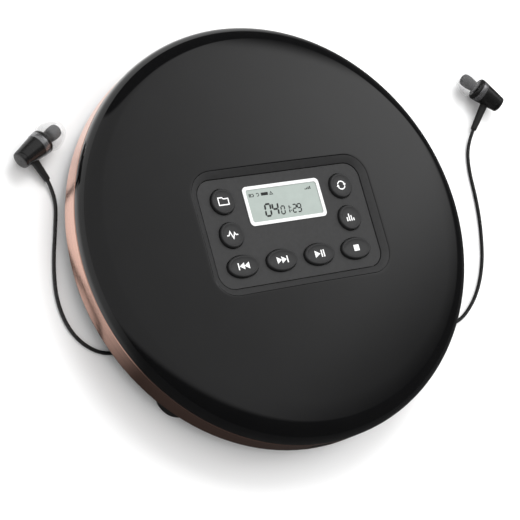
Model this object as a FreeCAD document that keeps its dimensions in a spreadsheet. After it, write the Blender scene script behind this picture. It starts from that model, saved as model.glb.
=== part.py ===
"""Portable CD player with its in-ear earphones plugged in.

Frame: origin on the surface it stands on, under the centre of the round body.
+Z up, +Y towards the lid's hinge, +X towards the side with the sockets. Millimetres.
"""
import FreeCAD, Part
import math
import os

import Sketcher

V = FreeCAD.Vector
X_AXIS = V(1, 0, 0)
Y_AXIS = V(0, 1, 0)
Z_AXIS = V(0, 0, 1)
os.makedirs("parts", exist_ok=True)
doc = FreeCAD.newDocument("PortableCdPlayer")
nodes = []

# ---------------------------------------------------------------- driving sizes
SIZES = [
    ("body_radius", 70.0), ("seam_height", 14.0), ("seam_gap", 0.15),
    # how far a cut starts outside the piece, how far it runs, and how far fused pieces overlap
    ("clearance", 1.0), ("through", 8.0), ("overlap", 0.2),
    # base
    ("base_bottom", 4.5), ("base_floor", 1.4), ("wall_radius", 68.6), ("wall", 1.4), ("wall_drop", 0.1),
    ("base_lip", 69.5), ("lip_run", 3.1), ("lip_rise", 0.7),
    ("band_bottom", 6.0), ("band_inner", 68.7), ("band_edge", 0.35),
    ("deck_post_circle", 64.5), ("deck_post_radius", 2.0),
    ("foot_radius", 7.5), ("foot_circle", 61.5), ("foot_edge", 1.2),
    ("deck_radius", 67.0), ("well_radius", 61.0), ("well_floor", 12.8), ("sheet_wall", 1.2),
    ("hub_opening", 18.0), ("slot_half", 12.0), ("slot_start", 10.0), ("slot_end", 60.5),
    ("rim_cut_depth", 0.5), ("rim_cut_reach", 62.6), ("hook_play", 0.6),
    ("circuit_thick", 1.0), ("battery_tall", 4.6), ("battery_corner", 2.0),
    # lid
    ("lid_wall", 1.6), ("shoulder", 15.3), ("lid_corner", 7.0), ("dome_radius", 602.0),
    ("liner_radius", 66.2), ("liner_bottom", 18.2), ("liner_wall", 0.8),
    ("post_circle", 58.0), ("post_radius", 2.5), ("post_tall", 3.0),
    ("screw_hole", 1.0), ("screw_deep", 2.6), ("screw_head", 1.9), ("screw_head_tall", 0.6),
    ("screw_shank", 0.9), ("screw_long", 2.4),
    # hinge and latch
    ("hinge_reach", 66.2), ("hinge_height", 11.2), ("knuckle_radius", 2.0), ("pin_radius", 0.75),
    ("pin_play", 0.05), ("barrel_half", 11.6), ("knuckle_start", 12.0), ("knuckle_end", 15.0),
    ("arm_rise", 0.3), ("root_low", 13.6), ("root_reach", 69.0),
    ("notch_half", 23.0), ("notch_floor", 8.0), ("notch_start", 60.0),
    ("hook_half", 3.6), ("hook_face", 66.6), ("hook_back", 65.4), ("hook_bottom", 8.2),
    ("shelf_reach", 68.9), ("shelf_low", 15.0), ("shelf_top", 16.4), ("barb_reach", 64.5), ("barb_top", 9.3),
    ("open_half", 7.0), ("open_low", 7.7), ("open_high", 12.5), ("open_back", 68.1), ("open_inset", 0.05),
    ("open_window", 62.0), ("open_play", 0.3),
    ("catch_near", 4.6), ("catch_far", 6.2), ("catch_root", 68.5), ("catch_start", 64.4),
    ("catch_end", 63.6), ("catch_low", 9.6), ("catch_high", 11.0),
    # control panel
    ("panel_middle", -0.5), ("plate_long", 61.0), ("plate_wide", 35.5), ("plate_corner", 5.2),
    ("plate_top", 23.0), ("plate_thick", 1.0), ("ledge_width", 1.4), ("ledge_bottom", 20.6),
    ("ledge_tall", 2.8), ("opening_corner", 4.2), ("seat_play", 0.1),
    ("bevel_rise", 2.0), ("bevel_run", 2.6),
    ("display_long", 28.8), ("display_wide", 13.0), ("display_middle", 7.1), ("display_frame", 1.1),
    ("frame_corner", 1.5), ("frame_rise", 0.3), ("window_corner", 0.8), ("pane_play", 0.03),
    ("pane_rise", 0.1), ("module_corner", 0.5),
    ("board_thick", 0.8), ("board_spread", 0.5), ("board_corner", 3.0),
    ("dome_height", 0.45), ("dome_base", 2.4), ("dome_top", 1.6),
    ("round_button", 4.1), ("button_column", 22.3), ("upper_row", 9.8), ("middle_row", -1.25),
    ("oval_long", 5.5), ("oval_short", 3.5), ("oval_row", -11.6), ("oval_pitch", 14.2),
    ("button_gap", 0.3), ("button_rise", 1.1), ("button_edge", 0.3),
    ("flange_width", 0.6), ("flange_thick", 0.45), ("flange_play", 0.05),
    # mechanism
    ("rod_offset", 14.5), ("rod_height", 8.5), ("rod_radius", 1.0), ("rod_start", 62.0), ("rod_end", 13.0),
    ("rod_press", 0.02), ("rod_block_half", 1.9), ("rod_block_long", 3.0), ("rod_block_low", 7.0),
    ("chassis_low", 10.2), ("chassis_thick", 1.0), ("bearing_hole", 4.0),
    ("motor_radius", 10.5), ("motor_tall", 4.0), ("bearing_radius", 2.6), ("bearing_tall", 0.9),
    ("bore_radius", 0.8), ("bore_depth", 3.0), ("shaft_radius", 0.75), ("shaft_depth", 2.5),
    ("collar_radius", 3.0), ("collar_low", 11.4), ("table_radius", 16.5), ("table_thick", 1.4),
    ("disc_seat", 14.6), ("hub_radius", 7.45), ("hub_tall", 2.2), ("hub_edge", 0.6), ("hub_cone", 1.0),
    ("sled_start", 25.0), ("sled_stroke", 28.0), ("sled_half", 11.0), ("sled_reach", 7.0),
    ("sled_low", 7.9), ("sled_high", 12.2), ("lug_past", 2.0), ("lug_reach", 5.0), ("lug_low", 7.0),
    ("lug_high", 9.9), ("rod_play", 0.08), ("lens_radius", 2.4), ("lens_tall", 0.8), ("lens_back", 1.0),
    ("gear_module", 0.5), ("idler_teeth", 24), ("pinion_teeth", 12), ("rack_line", 19.0),
    ("gear_low", 8.4), ("gear_thick", 1.4), ("gear_play", 0.1), ("idler_reach", 31.0),
    ("pinion_angle", 20.0), ("idler_bore", 0.8), ("pinion_bore", 0.55),
    ("rack_back", 1.2), ("web_start", 15.5), ("web_reach", 4.0), ("web_overlap", 0.6),
    ("sled_motor_radius", 5.0), ("sled_motor_tall", 2.2), ("sled_shaft_radius", 0.5),
    ("sled_shaft_low", 8.0), ("sled_shaft_tall", 2.2),
    ("idler_post_radius", 0.72), ("idler_post_low", 6.4), ("idler_post_tall", 3.7),
    ("idler_foot_radius", 2.4), ("idler_foot_tall", 0.7),
    # sockets and side controls, at angles round the body
    ("socket_height", 8.55), ("socket_bore", 1.8), ("socket_depth", 14.0), ("socket_mouth", 69.9),
    ("jack_gap", 2.4), ("jack_collar", 2.3), ("collar_start", 66.5), ("collar_long", 3.4),
    ("line_out_angle", -16.0), ("usb_angle", -32.0), ("louder_angle", 24.0),
    ("softer_angle", 32.0), ("hold_angle", 44.0),
    # earphones and cord
    ("ear_height", 5.1), ("ear_long", 11.3), ("ear_back", 3.0), ("ear_round", 0.8), ("ear_front", 4.15),
    ("ear_edge", 0.5), ("nozzle_radius", 2.2), ("nozzle_long", 4.5), ("nozzle_play", 0.05),
    ("tip_gap", 0.3), ("tip_long", 7.2), ("tip_radius", 5.0), ("tip_root", 0.6), ("tip_edge", 0.5),
    ("tip_full", 3.2), ("tip_taper", 0.4), ("tip_end", 2.9), ("tip_bend", 7.0), ("tip_hole", 1.6),
    ("stem_base", 1.5), ("stem_end", 0.95), ("stem_along", 5.0), ("stem_drop", 1.4),
    ("branch_radius", 0.6), ("lead_radius", 0.85),
    ("coil_outer", 22.0), ("coil_inner", 5.5), ("coil_top", 3.1), ("coil_bottom", 0.05),
    ("splitter_low", 0.1), ("splitter_wide", 4.0), ("splitter_long", 7.0), ("splitter_corner", 1.5),
    ("splitter_tall", 2.8),
    ("grip_start", 70.3), ("grip_end", 73.9), ("grip_rear", 3.2), ("grip_front", 9.0), ("grip_half", 1.85),
    ("grip_edge", 0.8), ("cord_line", 72.1), ("relief_start", 8.8), ("relief_base", 1.6),
    ("relief_tip", 1.1), ("relief_long", 4.2),
    ("plug_pin_radius", 1.75), ("plug_pin_start", 56.8), ("plug_pin_long", 13.5),
]

sheet = doc.addObject("Spreadsheet::Sheet", "dim")
for row, (alias, number) in enumerate(SIZES, start=1):
    sheet.set("A%d" % row, alias)
    sheet.set("B%d" % row, "%g" % number)
    sheet.setAlias("B%d" % row, alias)
doc.recompute()


def value(expression):
    """The number that an expression over the sheet gives."""
    found = sheet.evalExpression(str(expression))
    return float(getattr(found, "Value", found))


# ---------------------------------------------------------------- helpers
def keep(piece, label):
    """Name a finished sub-part and list it for writing."""
    piece.Label = label
    nodes.append(piece)
    return piece


def turned(angle):
    """Placement turned about the body's upright axis, by an angle in degrees."""
    return FreeCAD.Placement(V(0, 0, 0), FreeCAD.Rotation(Z_AXIS, angle))


def new_body(name):
    return doc.addObject("PartDesign::Body", name)


def sketch_on(body, plane="XY_Plane", lift="0"):
    """Empty sketch on one of the body's own origin planes, moved along its normal."""
    sketch = body.newObject("Sketcher::SketchObject", "Sketch")
    origin = [item for item in body.Origin.OriginFeatures if item.Role == plane][0]
    sketch.AttachmentSupport = [(origin, "")]
    sketch.MapMode = "FlatFace"
    sketch.setExpression("AttachmentOffset.Base.z", str(lift))
    return sketch


def bind(sketch, constraint, expression):
    row = sketch.addConstraint(constraint)
    sketch.setExpression("Constraints[%d]" % row, str(expression))


def fix_point(sketch, index, position, across, up):
    """Hold one point of a sketch at two sheet expressions."""
    bind(sketch, Sketcher.Constraint("DistanceX", -1, 1, index, position, value(across)), across)
    bind(sketch, Sketcher.Constraint("DistanceY", -1, 1, index, position, value(up)), up)


def circle(sketch, across, up, radius):
    shape = Part.Circle(V(value(across), value(up), 0), Z_AXIS, value(radius))
    index = sketch.addGeometry(shape, False)
    fix_point(sketch, index, 3, across, up)
    bind(sketch, Sketcher.Constraint("Radius", index, value(radius)), radius)


def arc_between(start, end, radius):
    """Arc from start to end, to the left of the way there when radius is positive."""
    half = (end - start) * 0.5
    side = V(-half.y, half.x, 0).normalize() * (1 if radius > 0 else -1)
    depth = math.sqrt(max(radius * radius - half.Length ** 2, 0.0))
    centre = start + half + side * depth
    middle = centre - side * abs(radius)
    return Part.Arc(start, middle, end)


def outline(sketch, corners):
    """Closed outline. A corner is (across, up), or (across, up, radius) when an arc arrives there.

    A positive radius curves anticlockwise, a negative one clockwise.
    """
    count = len(corners)
    points = [V(value(corner[0]), value(corner[1]), 0) for corner in corners]
    starts = []
    for place in range(count):
        following = (place + 1) % count
        bend = corners[following][2] if len(corners[following]) > 2 else None
        if bend is None:
            edge = Part.LineSegment(points[place], points[following])
            index = sketch.addGeometry(edge, False)
            starts.append((index, 1, 2))
            continue
        radius = value(bend)
        index = sketch.addGeometry(arc_between(points[place], points[following], radius), False)
        starts.append((index, 1, 2) if radius > 0 else (index, 2, 1))
        size = str(bend) if radius > 0 else "-1 * (%s)" % bend
        bind(sketch, Sketcher.Constraint("Radius", index, abs(radius)), size)
    for place in range(count):
        index, first, last = starts[place]
        next_index, next_first, _ = starts[(place + 1) % count]
        sketch.addConstraint(Sketcher.Constraint("Coincident", index, last, next_index, next_first))
        fix_point(sketch, index, first, corners[place][0], corners[place][1])


def rounded(sketch, across, up, long, wide, corner):
    """Rounded rectangle about a middle, all sizes as sheet expressions."""
    left = "%s - (%s) / 2" % (across, long)
    right = "%s + (%s) / 2" % (across, long)
    low = "%s - (%s) / 2" % (up, wide)
    high = "%s + (%s) / 2" % (up, wide)
    inset = "(%s)" % corner
    outline(sketch, [
        (left + " + " + inset, low, corner), (right + " - " + inset, low),
        (right, low + " + " + inset, corner), (right, high + " - " + inset),
        (right + " - " + inset, high, corner), (left + " + " + inset, high),
        (left, high + " - " + inset, corner), (left, low + " + " + inset),
    ])


def rectangle(sketch, left, low, right, high):
    outline(sketch, [(left, low), (right, low), (right, high), (left, high)])


def pad(body, sketch, length):
    feature = body.newObject("PartDesign::Pad", "Pad")
    feature.Profile = sketch
    feature.setExpression("Length", str(length))
    doc.recompute()
    return feature


def pocket(body, sketch, length):
    """Cut upwards from the sketch, along the plane's own normal."""
    before = body.Shape.Volume
    feature = body.newObject("PartDesign::Pocket", "Pocket")
    feature.Profile = sketch
    feature.Reversed = True
    feature.setExpression("Length", str(length))
    doc.recompute()
    if not body.Shape.Volume < before - 1e-6:
        raise RuntimeError("pocket removed nothing in " + body.Name)
    return feature


def revolve(body, corners):
    """Solid of revolution about the upright axis from (radius, height) corners."""
    sketch = sketch_on(body, "XZ_Plane")
    outline(sketch, corners)
    feature = body.newObject("PartDesign::Revolution", "Revolution")
    feature.Profile = sketch
    feature.ReferenceAxis = (sketch, ["V_Axis"])
    feature.Angle = 360
    doc.recompute()
    return feature


def primitive(kind, sizes, place, axis=Z_AXIS, about=None):
    """Part primitive with bound sizes. Its own Z runs along axis; about turns it round the body."""
    piece = doc.addObject("Part::" + kind, kind)
    for name, expression in sizes.items():
        piece.setExpression(name, str(expression))
    spot = V(*[value(item) for item in place])
    piece.Placement = FreeCAD.Placement(spot, FreeCAD.Rotation(Z_AXIS, axis))
    if about is not None:
        piece.Placement = turned(value(about)) * piece.Placement
    return piece


def block(low, high, about=None):
    """Part::Box between two corners given as sheet expressions."""
    sizes = {}
    for name, start, end in zip(("Length", "Width", "Height"), low, high):
        sizes[name] = "(%s) - (%s)" % (end, start)
    return primitive("Box", sizes, low, about=about)


def ring_of_circles(sketch, reach, angles, radius):
    """Circles at angles in degrees, all as far from the body's middle."""
    for angle in angles:
        circle(sketch, "%s * cos(%d)" % (reach, angle), "%s * sin(%d)" % (reach, angle), radius)


def rod(radius, length, place, axis=Z_AXIS, about=None):
    return primitive("Cylinder", {"Radius": radius, "Height": length}, place, axis, about)


def cone(base, top, length, place, axis=Z_AXIS):
    return primitive("Cone", {"Radius1": base, "Radius2": top, "Height": length}, place, axis)


def fuse(pieces):
    joined = doc.addObject("Part::MultiFuse", "Fuse")
    joined.Shapes = pieces
    joined.Refine = True
    return joined


def cut(base, tools):
    result = doc.addObject("Part::Cut", "Cut")
    result.Base = base
    result.Tool = tools[0] if len(tools) == 1 else fuse(tools)
    result.Refine = True
    return result


def rounded_edges(base, radius, chosen):
    """Part::Fillet on the edges of base that chosen accepts."""
    doc.recompute()
    edges = [number for number, edge in enumerate(base.Shape.Edges, start=1) if chosen(edge)]
    softened = doc.addObject("Part::Fillet", "Fillet")
    softened.Base = base
    softened.Edges = [(number, value(radius), value(radius)) for number in edges]
    doc.recompute()
    return softened


def is_upright(edge):
    """Edge test: the edge runs straight up."""
    box = edge.BoundBox
    return box.XLength < 1e-3 and box.YLength < 1e-3


def at_height(height):
    """Edge test: the whole edge lies at one height."""
    level = value(height)

    def test(edge):
        box = edge.BoundBox
        return abs(box.ZMin - level) < 1e-3 and abs(box.ZMax - level) < 1e-3
    return test


# ---------------------------------------------------------------- base
def base_shell():
    """Round tray with a lip under the band, posts for the deck and the hinge knuckles."""
    tray = new_body("BaseTray")
    floor_top = "dim.base_bottom + dim.base_floor"
    wall_top = "dim.seam_height - dim.wall_drop"
    revolve(tray, [
        ("0", "dim.base_bottom"), ("dim.base_lip - dim.lip_run", "dim.base_bottom"),
        ("dim.base_lip", "dim.base_bottom + dim.lip_rise"), ("dim.base_lip", "dim.band_bottom"),
        ("dim.wall_radius", "dim.band_bottom"), ("dim.wall_radius", wall_top),
        ("dim.wall_radius - dim.wall", wall_top), ("dim.wall_radius - dim.wall", floor_top),
        ("0", floor_top),
    ])
    posts = sketch_on(tray, lift=floor_top + " - dim.overlap")
    ring_of_circles(posts, "dim.deck_post_circle", (60, 120, 240, 300), "dim.deck_post_radius")
    pad(tray, posts, "dim.well_floor - (%s) + dim.overlap" % floor_top)

    knuckles = []
    for side in (-1, 1):
        start = "dim.knuckle_start" if side > 0 else "-dim.knuckle_end"
        end = "dim.knuckle_end" if side > 0 else "-dim.knuckle_start"
        knuckles.append(hinge_rod("dim.knuckle_radius", start, end))
        knuckles.append(block((start, "dim.hinge_reach - dim.knuckle_radius", floor_top + " - dim.overlap"),
                              (end, "dim.hinge_reach", "dim.hinge_height")))
    cleared = cut(tray, hinge_and_latch_gaps() + socket_gaps())
    whole = fuse([cleared] + knuckles)
    keep(cut(whole, [pin_hole("dim.knuckle_end")]), "base_shell")


def hinge_rod(radius, start, end):
    """Rod about the hinge's axis between two places along it."""
    return rod(radius, "(%s) - (%s)" % (end, start), (start, "dim.hinge_reach", "dim.hinge_height"),
               X_AXIS)


def pin_hole(half):
    """Cutter for the hinge pin's hole, through everything to half either side."""
    return hinge_rod("dim.pin_radius + dim.pin_play", "-%s - dim.clearance" % half,
                     "%s + dim.clearance" % half)


def hinge_and_latch_gaps():
    """Blocks that clear the rear hinge notch and the front latch window out of the wall."""
    notch = block(("-dim.notch_half", "dim.notch_start", "dim.notch_floor"),
                  ("dim.notch_half", "dim.body_radius + dim.clearance", "dim.seam_height + dim.clearance"))
    window = block(("-dim.open_half - dim.open_play", "-dim.body_radius - dim.clearance",
                    "dim.open_low - dim.open_play"),
                   ("dim.open_half + dim.open_play", "-dim.open_window", "dim.open_high + dim.open_play"))
    return [notch, window]


# blocks across the side wall at the sockets' height: start, end, half width, half height
SIDE_BLOCKS = {
    "usb_gap": (64.0, 72.0, 4.0, 1.55),
    "volume_gap": (64.0, 72.0, 3.2, 1.7),
    "hold_gap": (64.0, 72.0, 2.8, 1.1),
    "jack_case": (54.5, 66.8, 3.4, 2.5),
    "usb_case": (63.8, 69.5, 3.75, 1.35),
    "usb_mouth": (65.0, 71.0, 3.3, 0.9),
    "usb_tongue": (64.5, 68.9, 1.9, 0.3),
    "volume_cap": (65.7, 70.5, 2.9, 1.4),
    "volume_flange": (65.5, 66.1, 3.9, 2.2),
}


def side_block(name, angle):
    """One of the blocks above, turned to an angle round the body."""
    start, end, half, tall = SIDE_BLOCKS[name]
    return block(("%g" % start, "%g" % -half, "dim.socket_height - %g" % tall),
                 ("%g" % end, "%g" % half, "dim.socket_height + %g" % tall), angle)


def side_rod(radius, start, length, angle):
    """Rod that points outwards at the sockets' height, turned to an angle round the body."""
    return rod(radius, length, (start, "0", "dim.socket_height"), X_AXIS, angle)


def socket_gaps():
    """Holes round the right side for the sockets, the volume buttons and the hold knob."""
    gaps = [side_rod("dim.jack_gap", "dim.body_radius - dim.through + dim.clearance", "dim.through", angle)
            for angle in ("0", "dim.line_out_angle")]
    gaps += [side_block("volume_gap", angle) for angle in ("dim.louder_angle", "dim.softer_angle")]
    return gaps + [side_block("usb_gap", "dim.usb_angle"), side_block("hold_gap", "dim.hold_angle")]


def rim_ring():
    """Metallic band round the base, from the lip to the seam."""
    band = new_body("Band")
    outside = "dim.body_radius - dim.band_edge"
    revolve(band, [
        ("dim.band_inner", "dim.band_bottom"), (outside, "dim.band_bottom"),
        ("dim.body_radius", "dim.band_bottom + dim.band_edge"),
        ("dim.body_radius", "dim.seam_height - dim.band_edge"), (outside, "dim.seam_height"),
        ("dim.band_inner", "dim.seam_height"),
    ])
    keep(cut(band, hinge_and_latch_gaps() + socket_gaps()), "rim_ring")


def disc_deck():
    """Deck with the disc well, the hub opening and the slot for the pickup."""
    deck = new_body("Deck")
    underside = "dim.well_floor - dim.sheet_wall"
    revolve(deck, [
        ("0", underside), ("dim.well_radius + dim.sheet_wall", underside),
        ("dim.well_radius + dim.sheet_wall", "dim.well_floor"), ("dim.deck_radius", "dim.well_floor"),
        ("dim.deck_radius", "dim.seam_height"), ("dim.well_radius", "dim.seam_height"),
        ("dim.well_radius", "dim.well_floor"), ("0", "dim.well_floor"),
    ])
    hub = sketch_on(deck, lift=underside + " - dim.clearance")
    circle(hub, "0", "0", "dim.hub_opening")
    pocket(deck, hub, "dim.through")
    slot = sketch_on(deck, lift=underside + " - dim.clearance")
    rectangle(slot, "-dim.slot_half", "-dim.slot_end", "dim.slot_half", "-dim.slot_start")
    pocket(deck, slot, "dim.through")
    rear = sketch_on(deck, lift="dim.well_floor - dim.rim_cut_depth")
    rectangle(rear, "-dim.notch_half", "dim.rim_cut_reach", "dim.notch_half", "dim.body_radius")
    pocket(deck, rear, "dim.through")
    front = sketch_on(deck, lift="dim.well_floor - dim.rim_cut_depth")
    rectangle(front, "-dim.hook_half - dim.hook_play", "-dim.body_radius",
              "dim.hook_half + dim.hook_play", "-dim.rim_cut_reach")
    pocket(deck, front, "dim.through")
    keep(deck, "disc_deck")


def feet():
    """Four round feet on the diagonals."""
    for number, angle in enumerate((45, 135, 225, 315), start=1):
        foot = new_body("Foot")
        revolve(foot, [
            ("0", "0"), ("dim.foot_radius - dim.foot_edge", "0"),
            ("dim.foot_radius", "dim.foot_edge", "dim.foot_edge"),
            ("dim.foot_radius", "dim.base_bottom"), ("0", "dim.base_bottom"),
        ])
        foot.setExpression("Placement.Base.x", "dim.foot_circle * cos(%d)" % angle)
        foot.setExpression("Placement.Base.y", "dim.foot_circle * sin(%d)" % angle)
        keep(foot, "foot_%d" % number)


# outlines of flat pieces seen from above: left, front, right, rear
MAIN_BOARD = (19, 6, 50, 41)
BATTERY = (-56, -18, -23, 30)
# outlines of the parts on the main board, each with how far it stands up
BOARD_PARTS = [((23, 20, 33, 30), 1.2), ((37, 12, 44, 18), 1.0), ((36, 24, 46, 31), 1.4),
               ((24, 9, 28, 15), 2.4)]


def slab(edges, low, high):
    """Upright block over an outline seen from above, between two heights."""
    left, front, right, rear = ("%g" % edge for edge in edges)
    return block((left, front, low), (right, rear, high))


def electronics():
    """Main board with its parts, and the flat battery, both on the tray's floor."""
    floor_top = "dim.base_bottom + dim.base_floor"
    board_top = floor_top + " + dim.circuit_thick"
    board = [slab(MAIN_BOARD, floor_top, board_top)]
    parts = [slab(edges, board_top + " - dim.overlap", board_top + " + %g" % tall)
             for edges, tall in BOARD_PARTS]
    keep(fuse(board + parts), "main_board")
    pack = slab(BATTERY, floor_top, floor_top + " + dim.battery_tall")
    keep(rounded_edges(pack, "dim.battery_corner", is_upright), "battery")


def sockets():
    """Headphone jack, line-out jack and USB socket behind holes in the band."""
    for label, angle in (("headphone_jack", "0"), ("line_out_jack", "dim.line_out_angle")):
        case = side_block("jack_case", angle)
        collar = side_rod("dim.jack_collar", "dim.collar_start", "dim.collar_long", angle)
        bore = side_rod("dim.socket_bore", "dim.socket_mouth - dim.socket_depth",
                        "dim.socket_depth + dim.clearance", angle)
        keep(cut(fuse([case, collar]), [bore]), label)
    hollow = cut(side_block("usb_case", "dim.usb_angle"), [side_block("usb_mouth", "dim.usb_angle")])
    keep(fuse([hollow, side_block("usb_tongue", "dim.usb_angle")]), "usb_socket")


# the hold knob's stem and cap, which stand off the middle of their slot: start, end, from, to, half height
HOLD_STEM = (65.8, 70.6, -2.5, -0.5, 0.8)
HOLD_CAP = (70.35, 71.3, -3.6, 0.6, 1.5)


def side_controls():
    """Volume buttons that press inwards, and the hold knob that slides along the band."""
    for label, angle in (("volume_up_button", "dim.louder_angle"),
                         ("volume_down_button", "dim.softer_angle")):
        keep(fuse([side_block("volume_cap", angle), side_block("volume_flange", angle)]), label)
    knob = [block(("%g" % start, "%g" % near, "dim.socket_height - %g" % tall),
                  ("%g" % end, "%g" % far, "dim.socket_height + %g" % tall), "dim.hold_angle")
            for start, end, near, far, tall in (HOLD_STEM, HOLD_CAP)]
    keep(fuse(knob), "hold_knob")


def open_button():
    """Latch button at the front: a curved face, two arms past the hook and the catch bar."""
    face = block(("-dim.open_half", "-dim.body_radius", "dim.open_low"),
                 ("dim.open_half", "-dim.open_back", "dim.open_high"))
    disc = rod("dim.body_radius - dim.open_inset", "dim.seam_height", ("0", "0", "0"))
    curved = doc.addObject("Part::Common", "Common")
    curved.Base = face
    curved.Tool = disc
    left = block(("-dim.catch_far", "-dim.catch_root", "dim.catch_low"),
                 ("-dim.catch_near", "-dim.catch_end", "dim.catch_high"))
    right = block(("dim.catch_near", "-dim.catch_root", "dim.catch_low"),
                  ("dim.catch_far", "-dim.catch_end", "dim.catch_high"))
    bar = block(("-dim.catch_far", "-dim.catch_start", "dim.catch_low"),
                ("dim.catch_far", "-dim.catch_end", "dim.catch_high"))
    keep(fuse([curved, left, right, bar]), "open_button")


def hinge_pin():
    keep(hinge_rod("dim.pin_radius", "-dim.knuckle_end", "dim.knuckle_end"), "hinge_pin")


# ---------------------------------------------------------------- lid
def dome_corners(inset):
    """Radius of the place where the dome runs into the corner round, and its height."""
    centre = "(dim.body_radius - dim.lid_corner)"
    reach = "(dim.dome_radius - dim.lid_corner)"
    bend = "(dim.lid_corner - %s)" % inset
    radius = "%s * (1 + %s / %s)" % (centre, bend, reach)
    drop = "sqrt(%s ^ 2 - %s ^ 2)" % (reach, centre)
    height = "dim.shoulder + %s * %s / %s" % (bend, drop, reach)
    apex = "dim.shoulder - %s + dim.dome_radius - %s" % (drop, inset)
    return radius, height, apex


def panel_outline(sketch, grown):
    """The panel's rounded outline, grown outwards by a sheet expression."""
    rounded(sketch, "0", "dim.panel_middle", "dim.plate_long + 2 * " + grown,
            "dim.plate_wide + 2 * " + grown, "dim.plate_corner + " + grown)


SCREW_ANGLES = (45, 225)


def lid_shell():
    """Domed lid with the bevelled panel recess, its ledge, posts, hinge barrel and latch hook."""
    lid = new_body("Lid")
    outer_radius, outer_height, outer_apex = dome_corners("0")
    inner_radius, inner_height, inner_apex = dome_corners("dim.lid_wall")
    low = "dim.seam_height + dim.seam_gap"
    inside = "dim.body_radius - dim.lid_wall"
    revolve(lid, [
        ("0", outer_apex, "dim.dome_radius"), ("0", inner_apex),
        (inner_radius, inner_height, "-(dim.dome_radius - dim.lid_wall)"),
        (inside, "dim.shoulder", "-(dim.lid_corner - dim.lid_wall)"), (inside, low),
        ("dim.body_radius", low), ("dim.body_radius", "dim.shoulder"),
        (outer_radius, outer_height, "dim.lid_corner"),
    ])
    frame = sketch_on(lid, lift="dim.ledge_bottom")
    panel_outline(frame, "dim.lid_wall")
    pad(lid, frame, "dim.ledge_tall")
    posts = sketch_on(lid, lift="dim.liner_bottom + dim.liner_wall")
    ring_of_circles(posts, "dim.post_circle", (45, 135, 225, 315), "dim.post_radius")
    pad(lid, posts, "dim.post_tall")
    opening = sketch_on(lid, lift="dim.ledge_bottom - dim.clearance")
    rounded(opening, "0", "dim.panel_middle", "dim.plate_long - 2 * dim.ledge_width",
            "dim.plate_wide - 2 * dim.ledge_width", "dim.opening_corner")
    pocket(lid, opening, "dim.through")
    seat = sketch_on(lid, lift="dim.plate_top - dim.plate_thick")
    panel_outline(seat, "dim.seat_play")
    pocket(lid, seat, "dim.through")
    bevel = []
    for lift, grown in (("dim.plate_top", "dim.seat_play"),
                        ("dim.plate_top + dim.bevel_rise", "(dim.seat_play + dim.bevel_run)")):
        ring = sketch_on(lid, lift=lift)
        panel_outline(ring, grown)
        bevel.append(ring)
    slope = lid.newObject("PartDesign::SubtractiveLoft", "Bevel")
    slope.Profile = bevel[0]
    slope.Sections = [bevel[1]]
    slope.Ruled = True
    doc.recompute()
    screw_holes = sketch_on(lid, lift="dim.liner_bottom")
    ring_of_circles(screw_holes, "dim.post_circle", SCREW_ANGLES, "dim.screw_hole")
    pocket(lid, screw_holes, "dim.screw_deep")

    half = "dim.barrel_half"
    inner = "dim.hinge_reach - dim.knuckle_radius"
    top = "dim.shoulder + dim.arm_rise"
    barrel = hinge_rod("dim.knuckle_radius", "-" + half, half)
    arm = block(("-" + half, inner, "dim.hinge_height"),
                (half, "dim.hinge_reach + dim.knuckle_radius", top))
    root = block(("-" + half, inner, "dim.root_low"), (half, "dim.root_reach", top))
    shelf = block(("-dim.hook_half", "-dim.shelf_reach", "dim.shelf_low"),
                  ("dim.hook_half", "-dim.hook_back", "dim.shelf_top"))
    stem = block(("-dim.hook_half", "-dim.hook_face", "dim.hook_bottom"),
                 ("dim.hook_half", "-dim.hook_back", "dim.shelf_top"))
    barb = block(("-dim.hook_half", "-dim.hook_back - dim.overlap", "dim.hook_bottom"),
                 ("dim.hook_half", "-dim.barb_reach", "dim.barb_top"))
    whole = fuse([lid, barrel, arm, root, shelf, stem, barb])
    keep(cut(whole, [pin_hole(half)]), "lid_shell")


def lid_liner():
    """Thin disc that closes the lid from below, and the two screws that hold it."""
    liner = new_body("Liner")
    sketch = sketch_on(liner, lift="dim.liner_bottom")
    circle(sketch, "0", "0", "dim.liner_radius")
    pad(liner, sketch, "dim.liner_wall")
    holes = sketch_on(liner, lift="dim.liner_bottom - dim.clearance")
    ring_of_circles(holes, "dim.post_circle", SCREW_ANGLES, "dim.screw_hole")
    pocket(liner, holes, "dim.through")
    keep(liner, "lid_liner")
    for number, angle in enumerate(SCREW_ANGLES, start=1):
        screw = new_body("LidScrew")
        revolve(screw, [
            ("0", "-dim.screw_head_tall"), ("dim.screw_head", "-dim.screw_head_tall"),
            ("dim.screw_head", "0"), ("dim.screw_shank", "0"), ("dim.screw_shank", "dim.screw_long"),
            ("0", "dim.screw_long"),
        ])
        screw.setExpression("Placement.Base.x", "dim.post_circle * cos(%d)" % angle)
        screw.setExpression("Placement.Base.y", "dim.post_circle * sin(%d)" % angle)
        screw.setExpression("Placement.Base.z", "dim.liner_bottom")
        keep(screw, "lid_screw_%d" % number)


ROUND_BUTTONS = [
    ("button_folder", "-dim.button_column", "dim.upper_row"),
    ("button_antiskip", "-dim.button_column", "dim.middle_row"),
    ("button_mode", "dim.button_column", "dim.upper_row"),
    ("button_sound", "dim.button_column", "dim.middle_row"),
]
OVAL_BUTTONS = [
    ("button_previous", "-1.5 * dim.oval_pitch"), ("button_next", "-0.5 * dim.oval_pitch"),
    ("button_play_pause", "0.5 * dim.oval_pitch"), ("button_stop", "1.5 * dim.oval_pitch"),
]


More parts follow.
